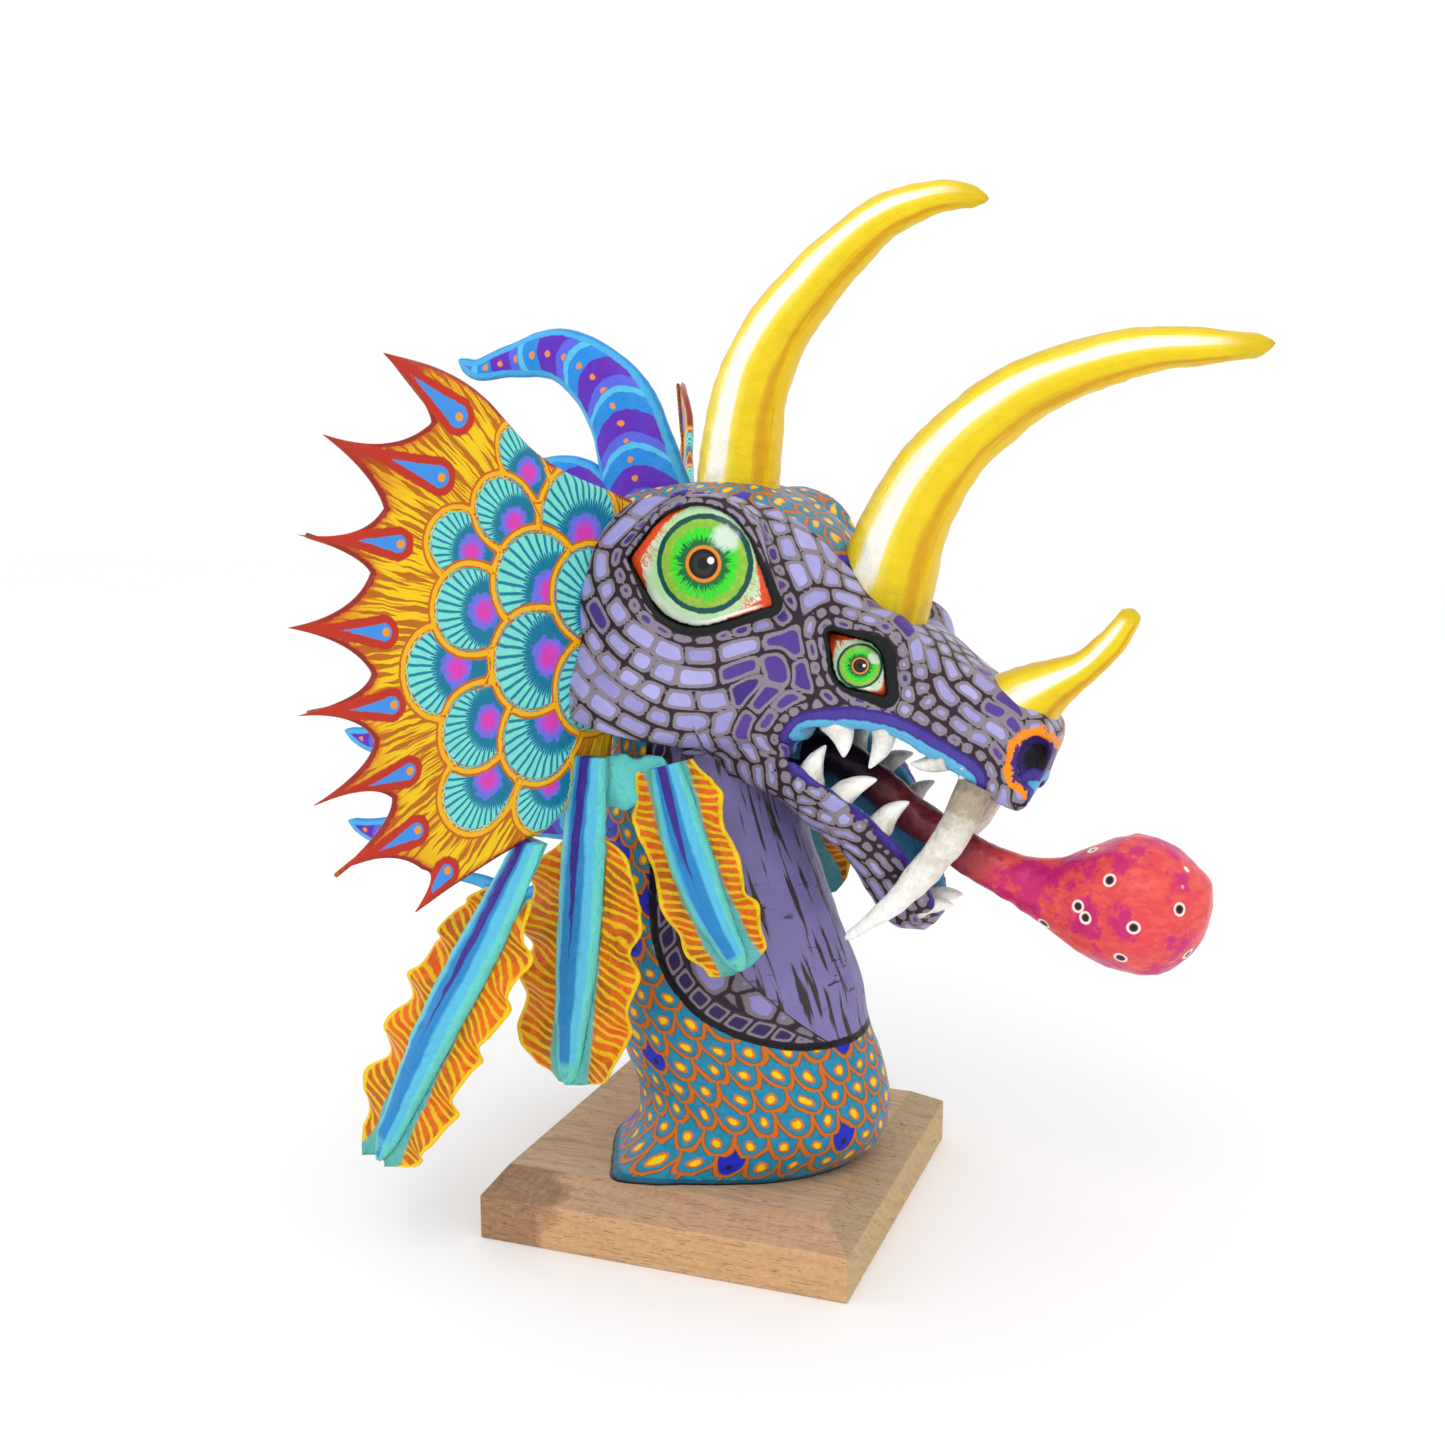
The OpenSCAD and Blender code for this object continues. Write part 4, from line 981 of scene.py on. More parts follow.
def horn_material():
    p = Paint("horn_paint")
    at, up, t, s = p.vec("co"), p.num("up"), p.num("t"), p.num("s")
    streak = p.noise(p.join(up * 5, p.num("side") * 3, s / 60), 1.0, 4, 0.6) - 0.5
    w = up + streak * 0.5
    # Painted shade: a darker olive band along the horn's convex edge and an ochre line near its concave edge.
    body = p.layers(p.mottle(rgb(236, 206, 16), at, 14, 0.12),
                    (w.over(0.84, 0.2) * 0.7, rgb(206, 170, 14)),
                    (w.within(-0.9, -0.62, 0.16) * 0.8, rgb(212, 150, 10)),
                    (w.under(-0.84, 0.12), rgb(238, 200, 20)))
    ends = t.over(0.05, 0.06) * t.under(0.9, 0.12)
    # Painted highlight: a white streak with pale yellow flanks, between the middle of the horn's side and its
    # convex edge, kept off the base and the tip.
    white = w.within(0.06, 0.5, 0.14) * ends
    base = (1 - t * 12).clamp()
    colour = p.layers(body, (w.within(-0.12, 0.64, 0.2) * ends * 0.6, rgb(250, 236, 110)),
                      (white, rgb(254, 252, 236)),
                      (base * streak.over(0.0, 0.3) * 0.7, rgb(164, 146, 14)),
                      (t.over(0.93, 0.05), rgb(222, 190, 14)))
    return p.finish(colour, pulp(p, at) + streak, 0.7, 0.32, 0.3)

def spine_material():
    p = Paint("spine_paint")
    at, up, s, wide = p.vec("co"), p.num("up"), p.num("s"), p.num("wide")
    fine = p.noise(at, 4, 2) - 0.5
    v = up * wide
    bend = s + v * v * 0.035 + fine * 2
    band = (bend / 27).fract() * 27
    edge = (wide - v.abs()) + fine * 1.5
    spot = ((bend / 9).fract() - 0.45) * 9
    dot = (v + fine * 3).hypot(spot) * (1 + band.under(3.5, 0.1) * 9)
    colour = p.layers(p.mottle(rgb(34, 138, 222), at, 8, 0.2),
                      (band.within(3.0, 19.0, 0.5), rgb(88, 100, 222)),
                      (band.within(8.0, 19.0, 0.5), rgb(98, 38, 178)),
                      (band.within(8.0, 19.0, 0.5) * p.noise(at, 5, 2).over(0.5, 0.1) * 0.5,
                       rgb(76, 50, 196)),
                      (band.under(3.0, 0.5), rgb(84, 190, 232)),
                      (edge.under(3.3, 0.5), rgb(70, 172, 226)), (edge.under(1.0, 0.8), rgb(46, 140, 214)),
                      (dot.under(1.5, 0.4) * edge.over(4.5, 0.3), rgb(238, 142, 56)))
    return p.finish(colour, pulp(p, at), 0.6, 0.35, 0.2)

def tongue_material():
    p = Paint("tongue_paint")
    at, s = p.vec("co"), p.num("s")
    blot = p.noise(at, 20, 4, 0.62)
    thin = p.noise(p.stretch(at, (1.0, 1.0, 2.2)), 7, 4, 0.65)
    base = p.layers(rgb(224, 72, 78), (thin.over(0.52, 0.12) * 0.7, rgb(236, 96, 84)),
                    (blot.over(0.53, 0.06), rgb(202, 40, 110)), (blot.over(0.63, 0.06) * thin,
                                                                 rgb(164, 24, 110)))
    deep = s.under(98, 22)
    base = p.layers(base, (deep, rgb(126, 52, 60)), (deep * thin.over(0.5, 0.1) * 0.6, rgb(92, 36, 46)),
                    (s.under(40, 16) * 0.9, NAVY))
    place = p.scale(at, 1 / 14)
    near = p.spots(place, 0.8) * 14
    mark = s.over(104, 10)
    colour = p.layers(base, (near.under(3.1, 0.4) * mark, rgb(250, 236, 226)),
                      (near.under(2.0, 0.3) * mark, rgb(70, 20, 40)),
                      (near.under(1.0, 0.3) * mark, rgb(20, 8, 14)))
    return p.finish(colour, pulp(p, at) - near.under(2, 1) * mark, 0.7, 0.3, 0.3)

def ivory_material():
    p = Paint("tooth_paint")
    at, t = p.vec("co"), p.num("t")
    lump = p.noise(at, 5, 4, 0.65)
    colour = p.layers(rgb(240, 238, 228), (lump.over(0.5, 0.25) * 0.55, rgb(196, 184, 164)),
                      ((t * 2.4 + lump).under(0.95, 0.3), rgb(176, 160, 138)),
                      ((t * 4 + lump).under(0.72, 0.2) * 0.7, rgb(126, 116, 104)),
                      (t.over(0.55, 0.3), rgb(252, 252, 248)))
    return p.finish(colour, p.noise(at, 3.5, 3) * 2, 0.9, 0.35, 0.3)

# ------------------------------------------------------------------ fans
FAN_FOOT = np.array([-38.0, -52.0])
FAN_FLARE = math.radians(66)       # between a fan and the straight back direction
FAN_DIR = np.array([-math.cos(FAN_FLARE), -math.sin(FAN_FLARE)])
FAN_HUB = np.array([-6.0, 284.0])  # point from which the spikes spread
FAN_TIPS = np.array([(119, 406), (149, 374), (160, 336), (167, 300.5), (164.5, 266), (158, 229),
                     (145.5, 200.5),
                     (112, 176)], float)
FAN_VALLEYS = np.array([(97, 379), (120, 345), (127, 319.5), (130.5, 279.5), (130.5, 252), (120.5, 226),
                        (106.5, 193)], float)
FAN_ROOT_TOP, FAN_ROOT_LOW, FAN_BOTTOM = np.array([-20.0, 343]), np.array([2.0, 226]), np.array([40.0, 200])
# Feather scales: middle (from the root line, height), radius, slimness.
FEATHERS = np.array([
    (52.7, 364, 15.5, 0.62), (20.5, 339, 21, 1.0), (61.4, 342, 16, 0.85), (45, 311.6, 21.5, 1.0),
    (85, 329, 15.5, 0.9), (81, 302, 17.5, 1.0), (48, 276.7, 21.5, 1.0), (97.5, 277, 18, 1.0),
    (80.6, 251, 17, 1.0), (45, 243.8, 20.5, 1.0), (79.4, 223, 17, 1.0), (43.4, 215, 15.5, 0.9),
    (14, 305, 20, 1.0), (14, 262, 20, 1.0)], float)

def fan_point(u, v, out=0.0):
    """Place in space of a point of the right fan's plane; out is towards the viewer at its front."""
    x = FAN_FOOT[0] + FAN_DIR[0] * u - FAN_DIR[1] * out
    y = FAN_FOOT[1] + FAN_DIR[1] * u + FAN_DIR[0] * out
    return np.stack([x, y, v], -1)

# Upper edge of the fan from its root to the first tip, and the beads of the painted drops.
FAN_TOP = [(-20, 343), (4, 351), (26, 358.5), (43, 367), (58, 378.5), (70, 389), (82, 396.5), (97, 402),
           (119, 406)]
BEADS = np.array([(85, 381.5), (94.5, 357), (114, 330.5), (123.5, 295.5), (122.5, 266), (113.5, 237),
                  (109.5, 211),
                  (95.5, 191)], float)

def bow(a, b, pull, n=12):
    t = np.linspace(0, 1, n + 2)[:-1, None]
    mid = (a + b) / 2 + pull
    return a * (1 - t) ** 2 + mid * 2 * t * (1 - t) + b * t * t

def fan_outline():
    """Closed outline of the fan; the edges between its spikes are hollow."""
    hub = FAN_HUB
    runs = [spline(FAN_TOP, 120)[0][:-1]]
    for i in range(len(FAN_VALLEYS)):
        a, v, b = FAN_TIPS[i], FAN_VALLEYS[i], FAN_TIPS[i + 1]
        inward = -unit(v - hub)
        runs += [bow(a, v, inward * 11 + unit(a - b) * 3), bow(v, b, inward * 13 - unit(a - b) * 3.5)]
    runs += [bow(FAN_TIPS[-1], FAN_BOTTOM, np.array([0.0, 2]), 24),
             bow(FAN_BOTTOM, FAN_ROOT_LOW, np.array([0.0, 0]), 16),
             bow(FAN_ROOT_LOW, FAN_ROOT_TOP, np.array([0.0, 0]), 40)]
    line = np.concatenate(runs)
    step = np.linalg.norm(np.diff(np.concatenate([line, line[:1]]), axis=0), axis=1)
    s = np.concatenate([[0], np.cumsum(step)])
    closed = np.concatenate([line, line[:1]])
    n = int(s[-1] / 1.3)
    q = np.linspace(0, s[-1], n, endpoint=False)
    even = np.stack([np.interp(q, s, closed[:, k]) for k in (0, 1)], 1)
    for tip in FAN_TIPS:                       # keep the spikes sharp
        even[np.argmin(np.linalg.norm(even - tip, axis=1))] = tip
    return even

def polygon_distance(P, line):
    """Distance from each point to a closed outline, positive inside."""
    a, b = line, np.roll(line, -1, 0)
    best = np.full(len(P), 1e9)
    inside = np.zeros(len(P), bool)
    for p, q in zip(a, b):
        d = q - p
        t = np.clip(((P - p) @ d) / (d @ d + 1e-12), 0, 1)
        best = np.minimum(best, ((P - p - t[:, None] * d) ** 2).sum(1))
        hit = ((p[1] > P[:, 1]) != (q[1] > P[:, 1]))
        x = p[0] + (P[:, 1] - p[1]) * (d[0] / (d[1] if abs(d[1]) > 1e-9 else 1e-9))
        inside ^= hit & (P[:, 0] < x)
    best = np.sqrt(best)
    return np.where(inside, best, -best)

def flat_mesh(line, step, keep=0.55):
    """Triangles that fill an outline: its own points and an even grid inside it."""
    lo, hi = line.min(0), line.max(0)
    g = np.stack(np.meshgrid(np.arange(lo[0], hi[0], step), np.arange(lo[1], hi[1], step * 0.87)), -1)
    g[1::2, :, 0] += step / 2
    g = g.reshape(-1, 2)
    g = g[polygon_distance(g, line) > step * keep]
    pts = np.concatenate([line, g])
    n = len(line)
    edges = [(i, (i + 1) % n) for i in range(n)]
    out = delaunay_2d_cdt([Vector(p) for p in pts], edges, [], 1, 1e-5)
    return np.array([tuple(p) for p in out[0]]), np.array([tuple(f) for f in out[2] if len(f) == 3])

def fan_fields(P, line):
    """Paint numbers over the fan: scale outline, ray phase, eye spot, membrane dashes, teardrops."""
    rim = polygon_distance(P, line)
    hub = FAN_HUB
    score, angle, reach, spot = [], [], [], []
    order = np.argsort(-np.hypot(FEATHERS[:, 0] - hub[0], FEATHERS[:, 1] - hub[1]))
    for i in range(len(FEATHERS)):
        c, r, slim = FEATHERS[i, :2], FEATHERS[i, 2], FEATHERS[i, 3]
        out = unit(c - hub)
        side = np.array([-out[1], out[0]])
        a, b = (P - c) @ out, (P - c) @ side
        score.append(r - np.hypot(a * np.where(a > 0, 1, 0.72), b / slim))
        foot = P - (c - out * r * 0.62)
        a, b = foot @ out, foot @ side
        angle.append(np.arctan2(b, a))
        reach.append(np.hypot(a, b) / r)
        spot.append(np.hypot(a - r * 0.18, b) / r)
    score = np.array(score)
    top = np.zeros(len(P), int)
    edge, over = np.full(len(P), 99.0), np.full(len(P), 99.0)
    inside = np.zeros(len(P), bool)
    for i in order[::-1]:                         # scales near the head lie over the outer ones
        take = (~inside) & (score[i] > 0)
        top[take], edge[take] = i, score[i][take]
        free = ~inside & ~take
        over[free] = np.minimum(over[free], -score[i][free])
        inside |= take
    pick = (top, np.arange(len(P)))
    angle, reach, spot = np.array(angle)[pick], np.array(reach)[pick], np.array(spot)[pick]
    far = np.hypot(*(P - hub).T)
    theta = np.arctan2(P[:, 1] - hub[1], P[:, 0] - hub[0])
    drop = np.full(len(P), 99.0)
    bead, cloud = np.full(len(P), 99.0), np.full(len(P), 99.0)
    for root, tip, size in zip(BEADS, FAN_TIPS, (1.35, 1.25, 1, 1, 1, 1, 1, 1)):
        out = unit(tip - root)
        full = np.linalg.norm(tip - root)
        x, y = (P - root) @ out, np.abs((P - root) @ np.array([-out[1], out[0]]))
        wide, long = 3.7 * size, min(22.0 * size, full - 8)
        taper = wide * np.clip(1 - (x - 1) / (long - 1), 0, 1) ** 1.25
        drop = np.minimum(drop, np.where(x < 1, np.hypot(x - 1, y) - wide, np.maximum(y - taper, x - long)))
        cloud = np.minimum(cloud, drawn_out(x - 1, y, wide + 3.4, min(long + 12.0, full * 0.9)))
        bead = np.minimum(bead, np.hypot(x, y))
    return dict(rim=rim, edge=edge, over=over, cloud=cloud, scale=inside.astype(float), angle=angle,
                reach=reach, spot=spot,
                theta=theta * 57.3, far=far, drop=drop, bead=bead, u=P[:, 0], v=P[:, 1])

def fan_warp(P):
    """The card is a little wavy, more so towards its spikes."""
    wave = 1.6 * np.sin(P[:, 1] / 19.0) * np.clip(P[:, 0] / 120, 0, 1) + 1.3 * lumps(
        np.stack([P[:, 0], P[:, 1], 0 * P[:, 0]], 1), 30, 70)
    return wave * np.clip(P[:, 0] / 60, 0, 1)

def build_fan(side, material):
    word = SIDES[side]
    line = fan_outline()
    P, tri = flat_mesh(line, 1.25)
    f = fan_fields(P, line)
    rim = np.maximum(f["rim"], 0)
    thick = 0.5 + 1.5 * np.minimum(1, rim / 3.0) ** 0.5
    mid = fan_warp(P)
    grain = 0.18 * lumps(np.stack([P[:, 0], P[:, 1], 0 * P[:, 0]], 1), 5, 71)
    front = fan_point(P[:, 0], P[:, 1], mid + thick + grain)
    back = fan_point(P[:, 0], P[:, 1], mid - thick)
    n = len(P)
    a, b, c = P[tri[:, 0]], P[tri[:, 1]], P[tri[:, 2]]
    flip = ((b - a)[:, 0] * (c - a)[:, 1] - (b - a)[:, 1] * (c - a)[:, 0]) < 0
    tri[flip] = tri[flip][:, ::-1]
    faces = [tuple(t) for t in tri] + [tuple(t[::-1] + n) for t in tri]
    edges = dict.fromkeys((int(t[k]), int(t[(k + 1) % 3])) for t in tri for k in range(3))
    faces += [(j, i, i + n, j + n) for i, j in edges if (j, i) not in edges]
    V, faces = on_side(side, np.concatenate([front, back]), [q[::-1] for q in faces])
    obj = add_mesh("frill_%s_card" % word, V, faces, {k: np.concatenate([q, q]) for k, q in f.items()})
    piece(obj, "frill_" + word, material)

def fan_material():
    p = Paint("fan_paint")
    at = p.vec("co")
    fine = p.noise(at, 2.2, 3) - 0.5
    soft = p.noise(at, 9, 2) - 0.5
    edge, reach, spot, angle = p.num("edge"), p.num("reach"), p.num("spot"), p.num("angle")
    # Feather scales: aqua with thin teal rays from a dark core, a violet halo and a magenta spot.
    ray = (angle * 40 + soft * 2.4).sin() + fine * 0.5 - (reach - 0.95) * 0.5
    rays = ray.over(0.3, 0.5)
    core = reach + (angle * 40 + soft * 2.4).sin() * 0.12 + fine * 0.25
    feather = p.layers(p.mottle(rgb(122, 224, 208), at, 5, 0.12), (rays * reach.under(1.6, 0.1),
                                                                   rgb(26, 126, 158)),
                       (core.under(0.8, 0.05), rgb(18, 118, 152)),
                       ((spot + fine * 0.35 + soft * 0.3).under(0.44, 0.06), rgb(106, 112, 224)),
                       ((spot + fine * 0.3).under(0.3, 0.08), rgb(178, 82, 206)),
                       ((spot + fine * 0.2).under(0.2, 0.08), rgb(214, 62, 178)))
    # Membrane: yellow with tapered brown-orange dashes that run outwards.
    theta, far = p.num("theta"), p.num("far")
    phase = theta * 0.66 + soft * 0.8
    lane = phase.floor()
    beat = p.noise(p.join(lane * 7.3, far / 21, 0.0), 1.0, 1, 0.5)
    dash = ((phase.fract() - 0.5).abs() + fine * 0.12).under((beat - 0.36) * 1.5, 0.06)
    beat2 = p.noise(p.join(lane * 3.1 + 40, far / 26, 5.0), 1.0, 1, 0.5)
    dash2 = ((phase + 0.5).fract() - 0.5).abs().under((beat2 - 0.5) * 1.1, 0.06)
    rim = p.num("rim") + fine * 2
    out = p.num("u")
    spike = (far - 132).math("MULTIPLY", 1 / 26, clamp=True) * p.noise(at, 14, 2).over(0.32, 0.3)
    skin = p.layers(rgb(240, 198, 14), (spike * 0.95, rgb(206, 100, 20)), (dash, rgb(184, 106, 14)),
                    (dash2, rgb(206, 122, 18)), (dash * spike * 0.8, rgb(160, 70, 16)),
                    (dash2 * spike * 0.9, rgb(232, 180, 18)))
    skin = p.layers(skin, (rim.under(2.8, 1.6) * out.over(30, 25) * 0.6, rgb(204, 80, 24)),
                    (rim.under(1.6, 0.6), rgb(150, 42, 28)), ((far - 158).over(0.0, 8) * rim.under(5, 2),
                                                              rgb(176, 52, 30)))
    drop, bead = p.num("drop") + fine * 0.9, p.num("bead")
    skin = p.layers(skin, ((p.num("cloud") + fine * 1.5).under(0.0, 0.6), rgb(186, 48, 28)),
                    (drop.under(0.0, 0.5), rgb(62, 142, 226)),
                    (bead.under(1.8, 0.6), rgb(240, 150, 30)))
    edge = edge + fine * 0.5
    over = p.num("over") + fine * 0.9
    line = over.under(2.8, 0.3)
    # Scale outlines: a dark orange line inside the edge; outside it a brown line, a yellow band, then an
    # orange band that is painted shade under the edge of the scale above, painted all the way round.
    colour = p.layers(skin, (p.num("scale").over(0.5, 0.3), feather), (edge.under(0.85, 0.4),
                                                                       rgb(186, 92, 20)),
                      (over.under(3.9, 0.5), rgb(196, 100, 20)), (line, rgb(240, 180, 24)),
                      (over.under(0.7, 0.3), rgb(198, 98, 20)))
    return p.finish(colour, p.noise(at, 5, 3) * 1.2 + line * 0.4, 0.45, 0.34, 0.2)

def build_fan_wires(material):
    for side, word in SIDES.items():
        parts = []
        for i in (0, 2, 4, 6):
            a = np.array([38, 285 + (FAN_TIPS[i][1] - 300) * 0.35])
            b = FAN_TIPS[i] - np.array([4.0, 0])
            end = b + unit(b - a) * (6.5 if i == 6 else -2)
            t = np.linspace(0, 1, 80)[:, None]
            uv = a * (1 - t) + end * t
            path = fan_point(uv[:, 0], uv[:, 1], fan_warp(uv) - 2.6 - 0.4 * np.sin(t[:, 0] * 9))
            parts.append(sweep(path, np.full((80, 2), 1.0), 14, (0, 0, 1), seed=80 + i, rough=0.5))
        solid("frill_wires_%s_wrapped" % word, parts, "frill_wires_" + word, material, side)

# ------------------------------------------------------------------ lappets
LAPPETS = [
    ([(-57, -97, 197), (-68, -114, 162), (-88, -127, 118), (-116, -137, 54)], 26, 11, 0.16, (-0.35, -1, 0)),
    ([(-40, -70, 231), (-41, -76, 189), (-42, -84, 134), (-45, -90, 81)], 30, 11, 0.24, (-0.12, -1, 0.05)),
    ([(-4, -70, 229), (7, -71, 192), (18, -71, 165), (33, -70, 138)], 20, 10, -0.05, (0.1, -1, 0.1))]

def lappet_frame(i, rows):
    line, half, ridge, start, face = LAPPETS[i]
    C, s = spline(line, rows)
    face = unit(np.array(face, float))
    h = unit(np.gradient(C, axis=0))
    return C, s, np.cross(h, face), face, half, ridge, start

def build_ruffle(i, side, material):
    rows, cols = 190, 56
    C, s, w, face, half, ridge, start = lappet_frame(i, rows)
    w = unit(w)
    t = s / s[-1]
    opening = np.clip((t - start) / 0.16, 0, 1) ** 0.6 * np.maximum(1 - t ** 9, 0.02) ** 0.5
    wide = ridge * 0.8 + (half - ridge * 0.8) * np.where(t < start, 0, opening)
    wide = wide * np.clip((1.012 - t) / 0.05, 0.25, 1) ** 0.5
    a = np.linspace(-1, 1, cols)[None]
    T, S = np.repeat(t[:, None], cols, 1), np.repeat(s[:, None], cols, 1)
    ragged = 1 + 0.10 * lumps(np.stack([S, np.sign(a) * 40 + 0 * S, 0 * S + i * 9], -1), 7,
                              90 + i) * np.abs(a) ** 2
    across = a * wide[:, None] * ragged
    open_ = np.clip((np.abs(a) - 0.3) / 0.7, 0, 1) * (T > start)
    phase = 2 * np.pi * (S / 27.0) + np.where(a > 0, 1.3,
                                              0) + 1.6 * lumps(np.stack([S, 0 * S + a, 0 * S], -1), 40,
                                                               93 + i)
    wave = 4.2 * np.sin(phase) * open_ ** 1.3 + 1.6 * lumps(np.stack([S, across, 0 * S], -1), 7,
                                                            95 + i) * open_
    curl = -5.0 * open_ ** 2 * np.clip((T - 0.8) / 0.2, 0, 1)
    P = C[:, None] + w[:, None] * across[..., None] + face * (wave - curl * 0.4)[..., None]
    thick = 1.5 - 0.7 * np.abs(a) ** 2 + 0 * T
    front, back = P, P - face * thick[..., None]
    n = rows * cols
    g = grid_faces(rows, cols)
    faces = [tuple(q) for q in g] + [tuple(q[::-1] + n) for q in g]
    edge = ([r * cols for r in range(rows)], [r * cols + cols - 1 for r in range(rows)],
            list(range(cols)), [(rows - 1) * cols + c for c in range(cols)])
    for k, run in enumerate(edge):
        for p, q in zip(run[:-1], run[1:]):
            faces.append((p, q, q + n, p + n) if k in (0, 3) else (q, p, p + n, q + n))
    V = np.concatenate([front.reshape(-1, 3), back.reshape(-1, 3)])
    attrs = dict(t=T, s=S, a=across, rim=(1 - np.abs(a)) * wide[:, None] + 0 * T)
    attrs = {k: np.concatenate([q.ravel(), q.ravel()]) for k, q in attrs.items()}
    node = "lappet_%s_%d_ruffle" % (SIDES[side], i + 1)
    V, faces = on_side(side, V, faces)
    obj = add_mesh(node + "_card", V, faces, attrs)
    piece(obj, node, material)

def ruffle_material():
    p = Paint("ruffle_paint")
    at, s, a = p.vec("co"), p.num("s"), p.num("a")
    fine = p.noise(at, 2.5, 3) - 0.5
    slant = s + a * 0.42 + (p.noise(at, 18, 1) - 0.5) * 9
    bar = (slant / 4.4).fract() + fine * 0.25
    reach = p.noise(p.join((slant / 4.4).floor() * 3.7, a.abs() / 30, 0.0), 1.0, 1)
    bars = bar.within(0.3, 0.68, 0.12) * (a.abs() + reach * 14).over(16, 3)
    patch = p.noise(at, 15, 3)
    colour = p.layers(rgb(238, 112, 12), (patch.over(0.56, 0.12) * 0.8, rgb(182, 92, 18)),
                      (patch.under(0.4, 0.06) * 0.7, rgb(222, 78, 14)),
                      (a.abs().under(16, 6) * patch.over(0.46, 0.2) * 0.5, rgb(160, 98, 20)),
                      (bars, rgb(240, 190, 20)),
                      ((p.num("rim") + fine * 2.4).under(1.7, 0.8), rgb(252, 208, 26)),
                      ((a.abs() + fine * 3).under(10.5, 1.5), rgb(100, 186, 180)))
    return p.finish(colour, p.noise(at, 4, 4, 0.65) * 3, 0.9, 0.36, 0.15)

def build_ridge(i, side, material):
    rows, around = 170, 40
    C, s, w, face, _, ridge, _ = lappet_frame(i, rows)
    w = unit(w)
    t = s / s[-1]
    end = np.sqrt(np.maximum(1 - t ** 10, 0.05))
    r = ridge * (0.74 + 0.3 * np.sin(np.pi * np.minimum(t * 1.2, 1))) * end
    up = 9.0 * (0.75 + 0.25 * np.sin(np.pi * np.minimum(t * 1.1, 1))) * end
    th = np.linspace(0, 2 * np.pi, around, endpoint=False)
    cs, sn = np.cos(th), np.sin(th)
    rise = np.where(sn > 0, sn, sn * 0.12)
    P = (C[:, None] + w[:, None] * (r[:, None] * cs)[..., None] + face * (up[:, None] * rise)[..., None]
         + face * 0.6)
    bumps = 0.9 * lumps(P, 9, 120 + i) + 0.5 * lumps(P, 3.5, 121 + i)
    P = P + face * bumps[..., None] * (sn > -0.1)[None, :, None]
    faces = [tuple(q) for q in grid_faces(rows, around, True)]
    faces += [tuple(range(around))[::-1], tuple((rows - 1) * around + k for k in range(around))]
    S = np.repeat(s[:, None], around, 1)
    attrs = {"s": S.ravel(), "t": (S / s[-1]).ravel(), "a": (cs[None] + 0 * S).ravel()}
    node = "lappet_%s_%d_ridge" % (SIDES[side], i + 1)
    V, faces = on_side(side, P.reshape(-1, 3), [q[::-1] for q in faces])
    obj = add_mesh(node + "_pulp", V, faces, attrs)
    piece(obj, node, material)

def ridge_material():
    p = Paint("ridge_paint")
    at, t, a, s = p.vec("co"), p.num("t"), p.num("a"), p.num("s")
    streak = p.noise(p.join(a * 6, s / 30, 0.0), 1.0, 3, 0.6) - 0.5
    w = a + streak * 0.3
    tip = t.over(0.93, 0.03)
    violet = (w + 0.02).abs() + (t - 0.1) * 0.52 + streak * 0.3
    colour = p.layers(rgb(104, 214, 208), (w.within(-0.78, 0.62, 0.12), rgb(88, 190, 226)),
                      (w.within(-0.42, 0.42, 0.12), rgb(38, 132, 196)), (violet.under(0.26, 0.06),
                                                                         rgb(56, 40, 138)),
                      (w.over(0.72, 0.2), rgb(92, 200, 180)),
                      (tip * p.noise(at, 6, 2).over(0.4, 0.2), rgb(106, 208, 190)))
    return p.finish(p.mottle(colour, at, 5, 0.12), p.noise(at, 4, 4, 0.65) * 2, 0.9, 0.36, 0.2)

def build_bands(material):
    """Crumpled strip of pulp between the second and third ridges, close under the cheek."""
    for side, word in SIDES.items():
        def field(p):
            q = p - np.array([-21, -66, 219])
            x = np.clip(q[..., 0], -13, 13)
            r = np.sqrt(((q[..., 0] - x) / 7) ** 2 + (q[..., 1] / 3.2) ** 2 + (q[..., 2] / 12) ** 2)
            return (r - 1) * 3.2 + 0.5 * lumps(p, 6, 130)
        V, quads = surface_net(field, (-46, -72, 203), (4, -59, 235), 0.9)
        V, quads = on_side(side, V, quads)
        zero = np.zeros(len(V))
        obj = add_mesh("lappet_band_%s_pulp" % word, V, quads, {"t": zero + 0.5, "a": zero - 0.95,
                                                                "s": V[:, 2]})
        piece(obj, "lappet_band_" + word, material)

# ------------------------------------------------------------------ plinth and hidden parts
def build_plinth(material):
    """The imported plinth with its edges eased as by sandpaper."""
    import bmesh
    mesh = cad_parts["plinth"].data.copy()
    bm = bmesh.new()
    bm.from_mesh(mesh)
    bmesh.ops.remove_doubles(bm, verts=bm.verts, dist=1e-6)
    bmesh.ops.dissolve_limit(bm, angle_limit=0.02, verts=bm.verts, edges=bm.edges)
    sharp = [e for e in bm.edges if e.is_manifold and e.calc_face_angle(0) > 0.12 and e.calc_length() > 0.02]
    bmesh.ops.bevel(bm, geom=sharp, offset=0.9 * MM, segments=3, profile=0.6, affect="EDGES")
    bmesh.ops.triangulate(bm, faces=[f for f in bm.faces if len(f.verts) > 4])
    bm.to_mesh(mesh)
    bm.free()
    obj = link("plinth_board", mesh)
    co = np.zeros(len(mesh.vertices) * 3)
    mesh.vertices.foreach_get("co", co)
    put(mesh, "co", co.reshape(-1, 3) * 1000)
    piece(obj, "plinth", material)

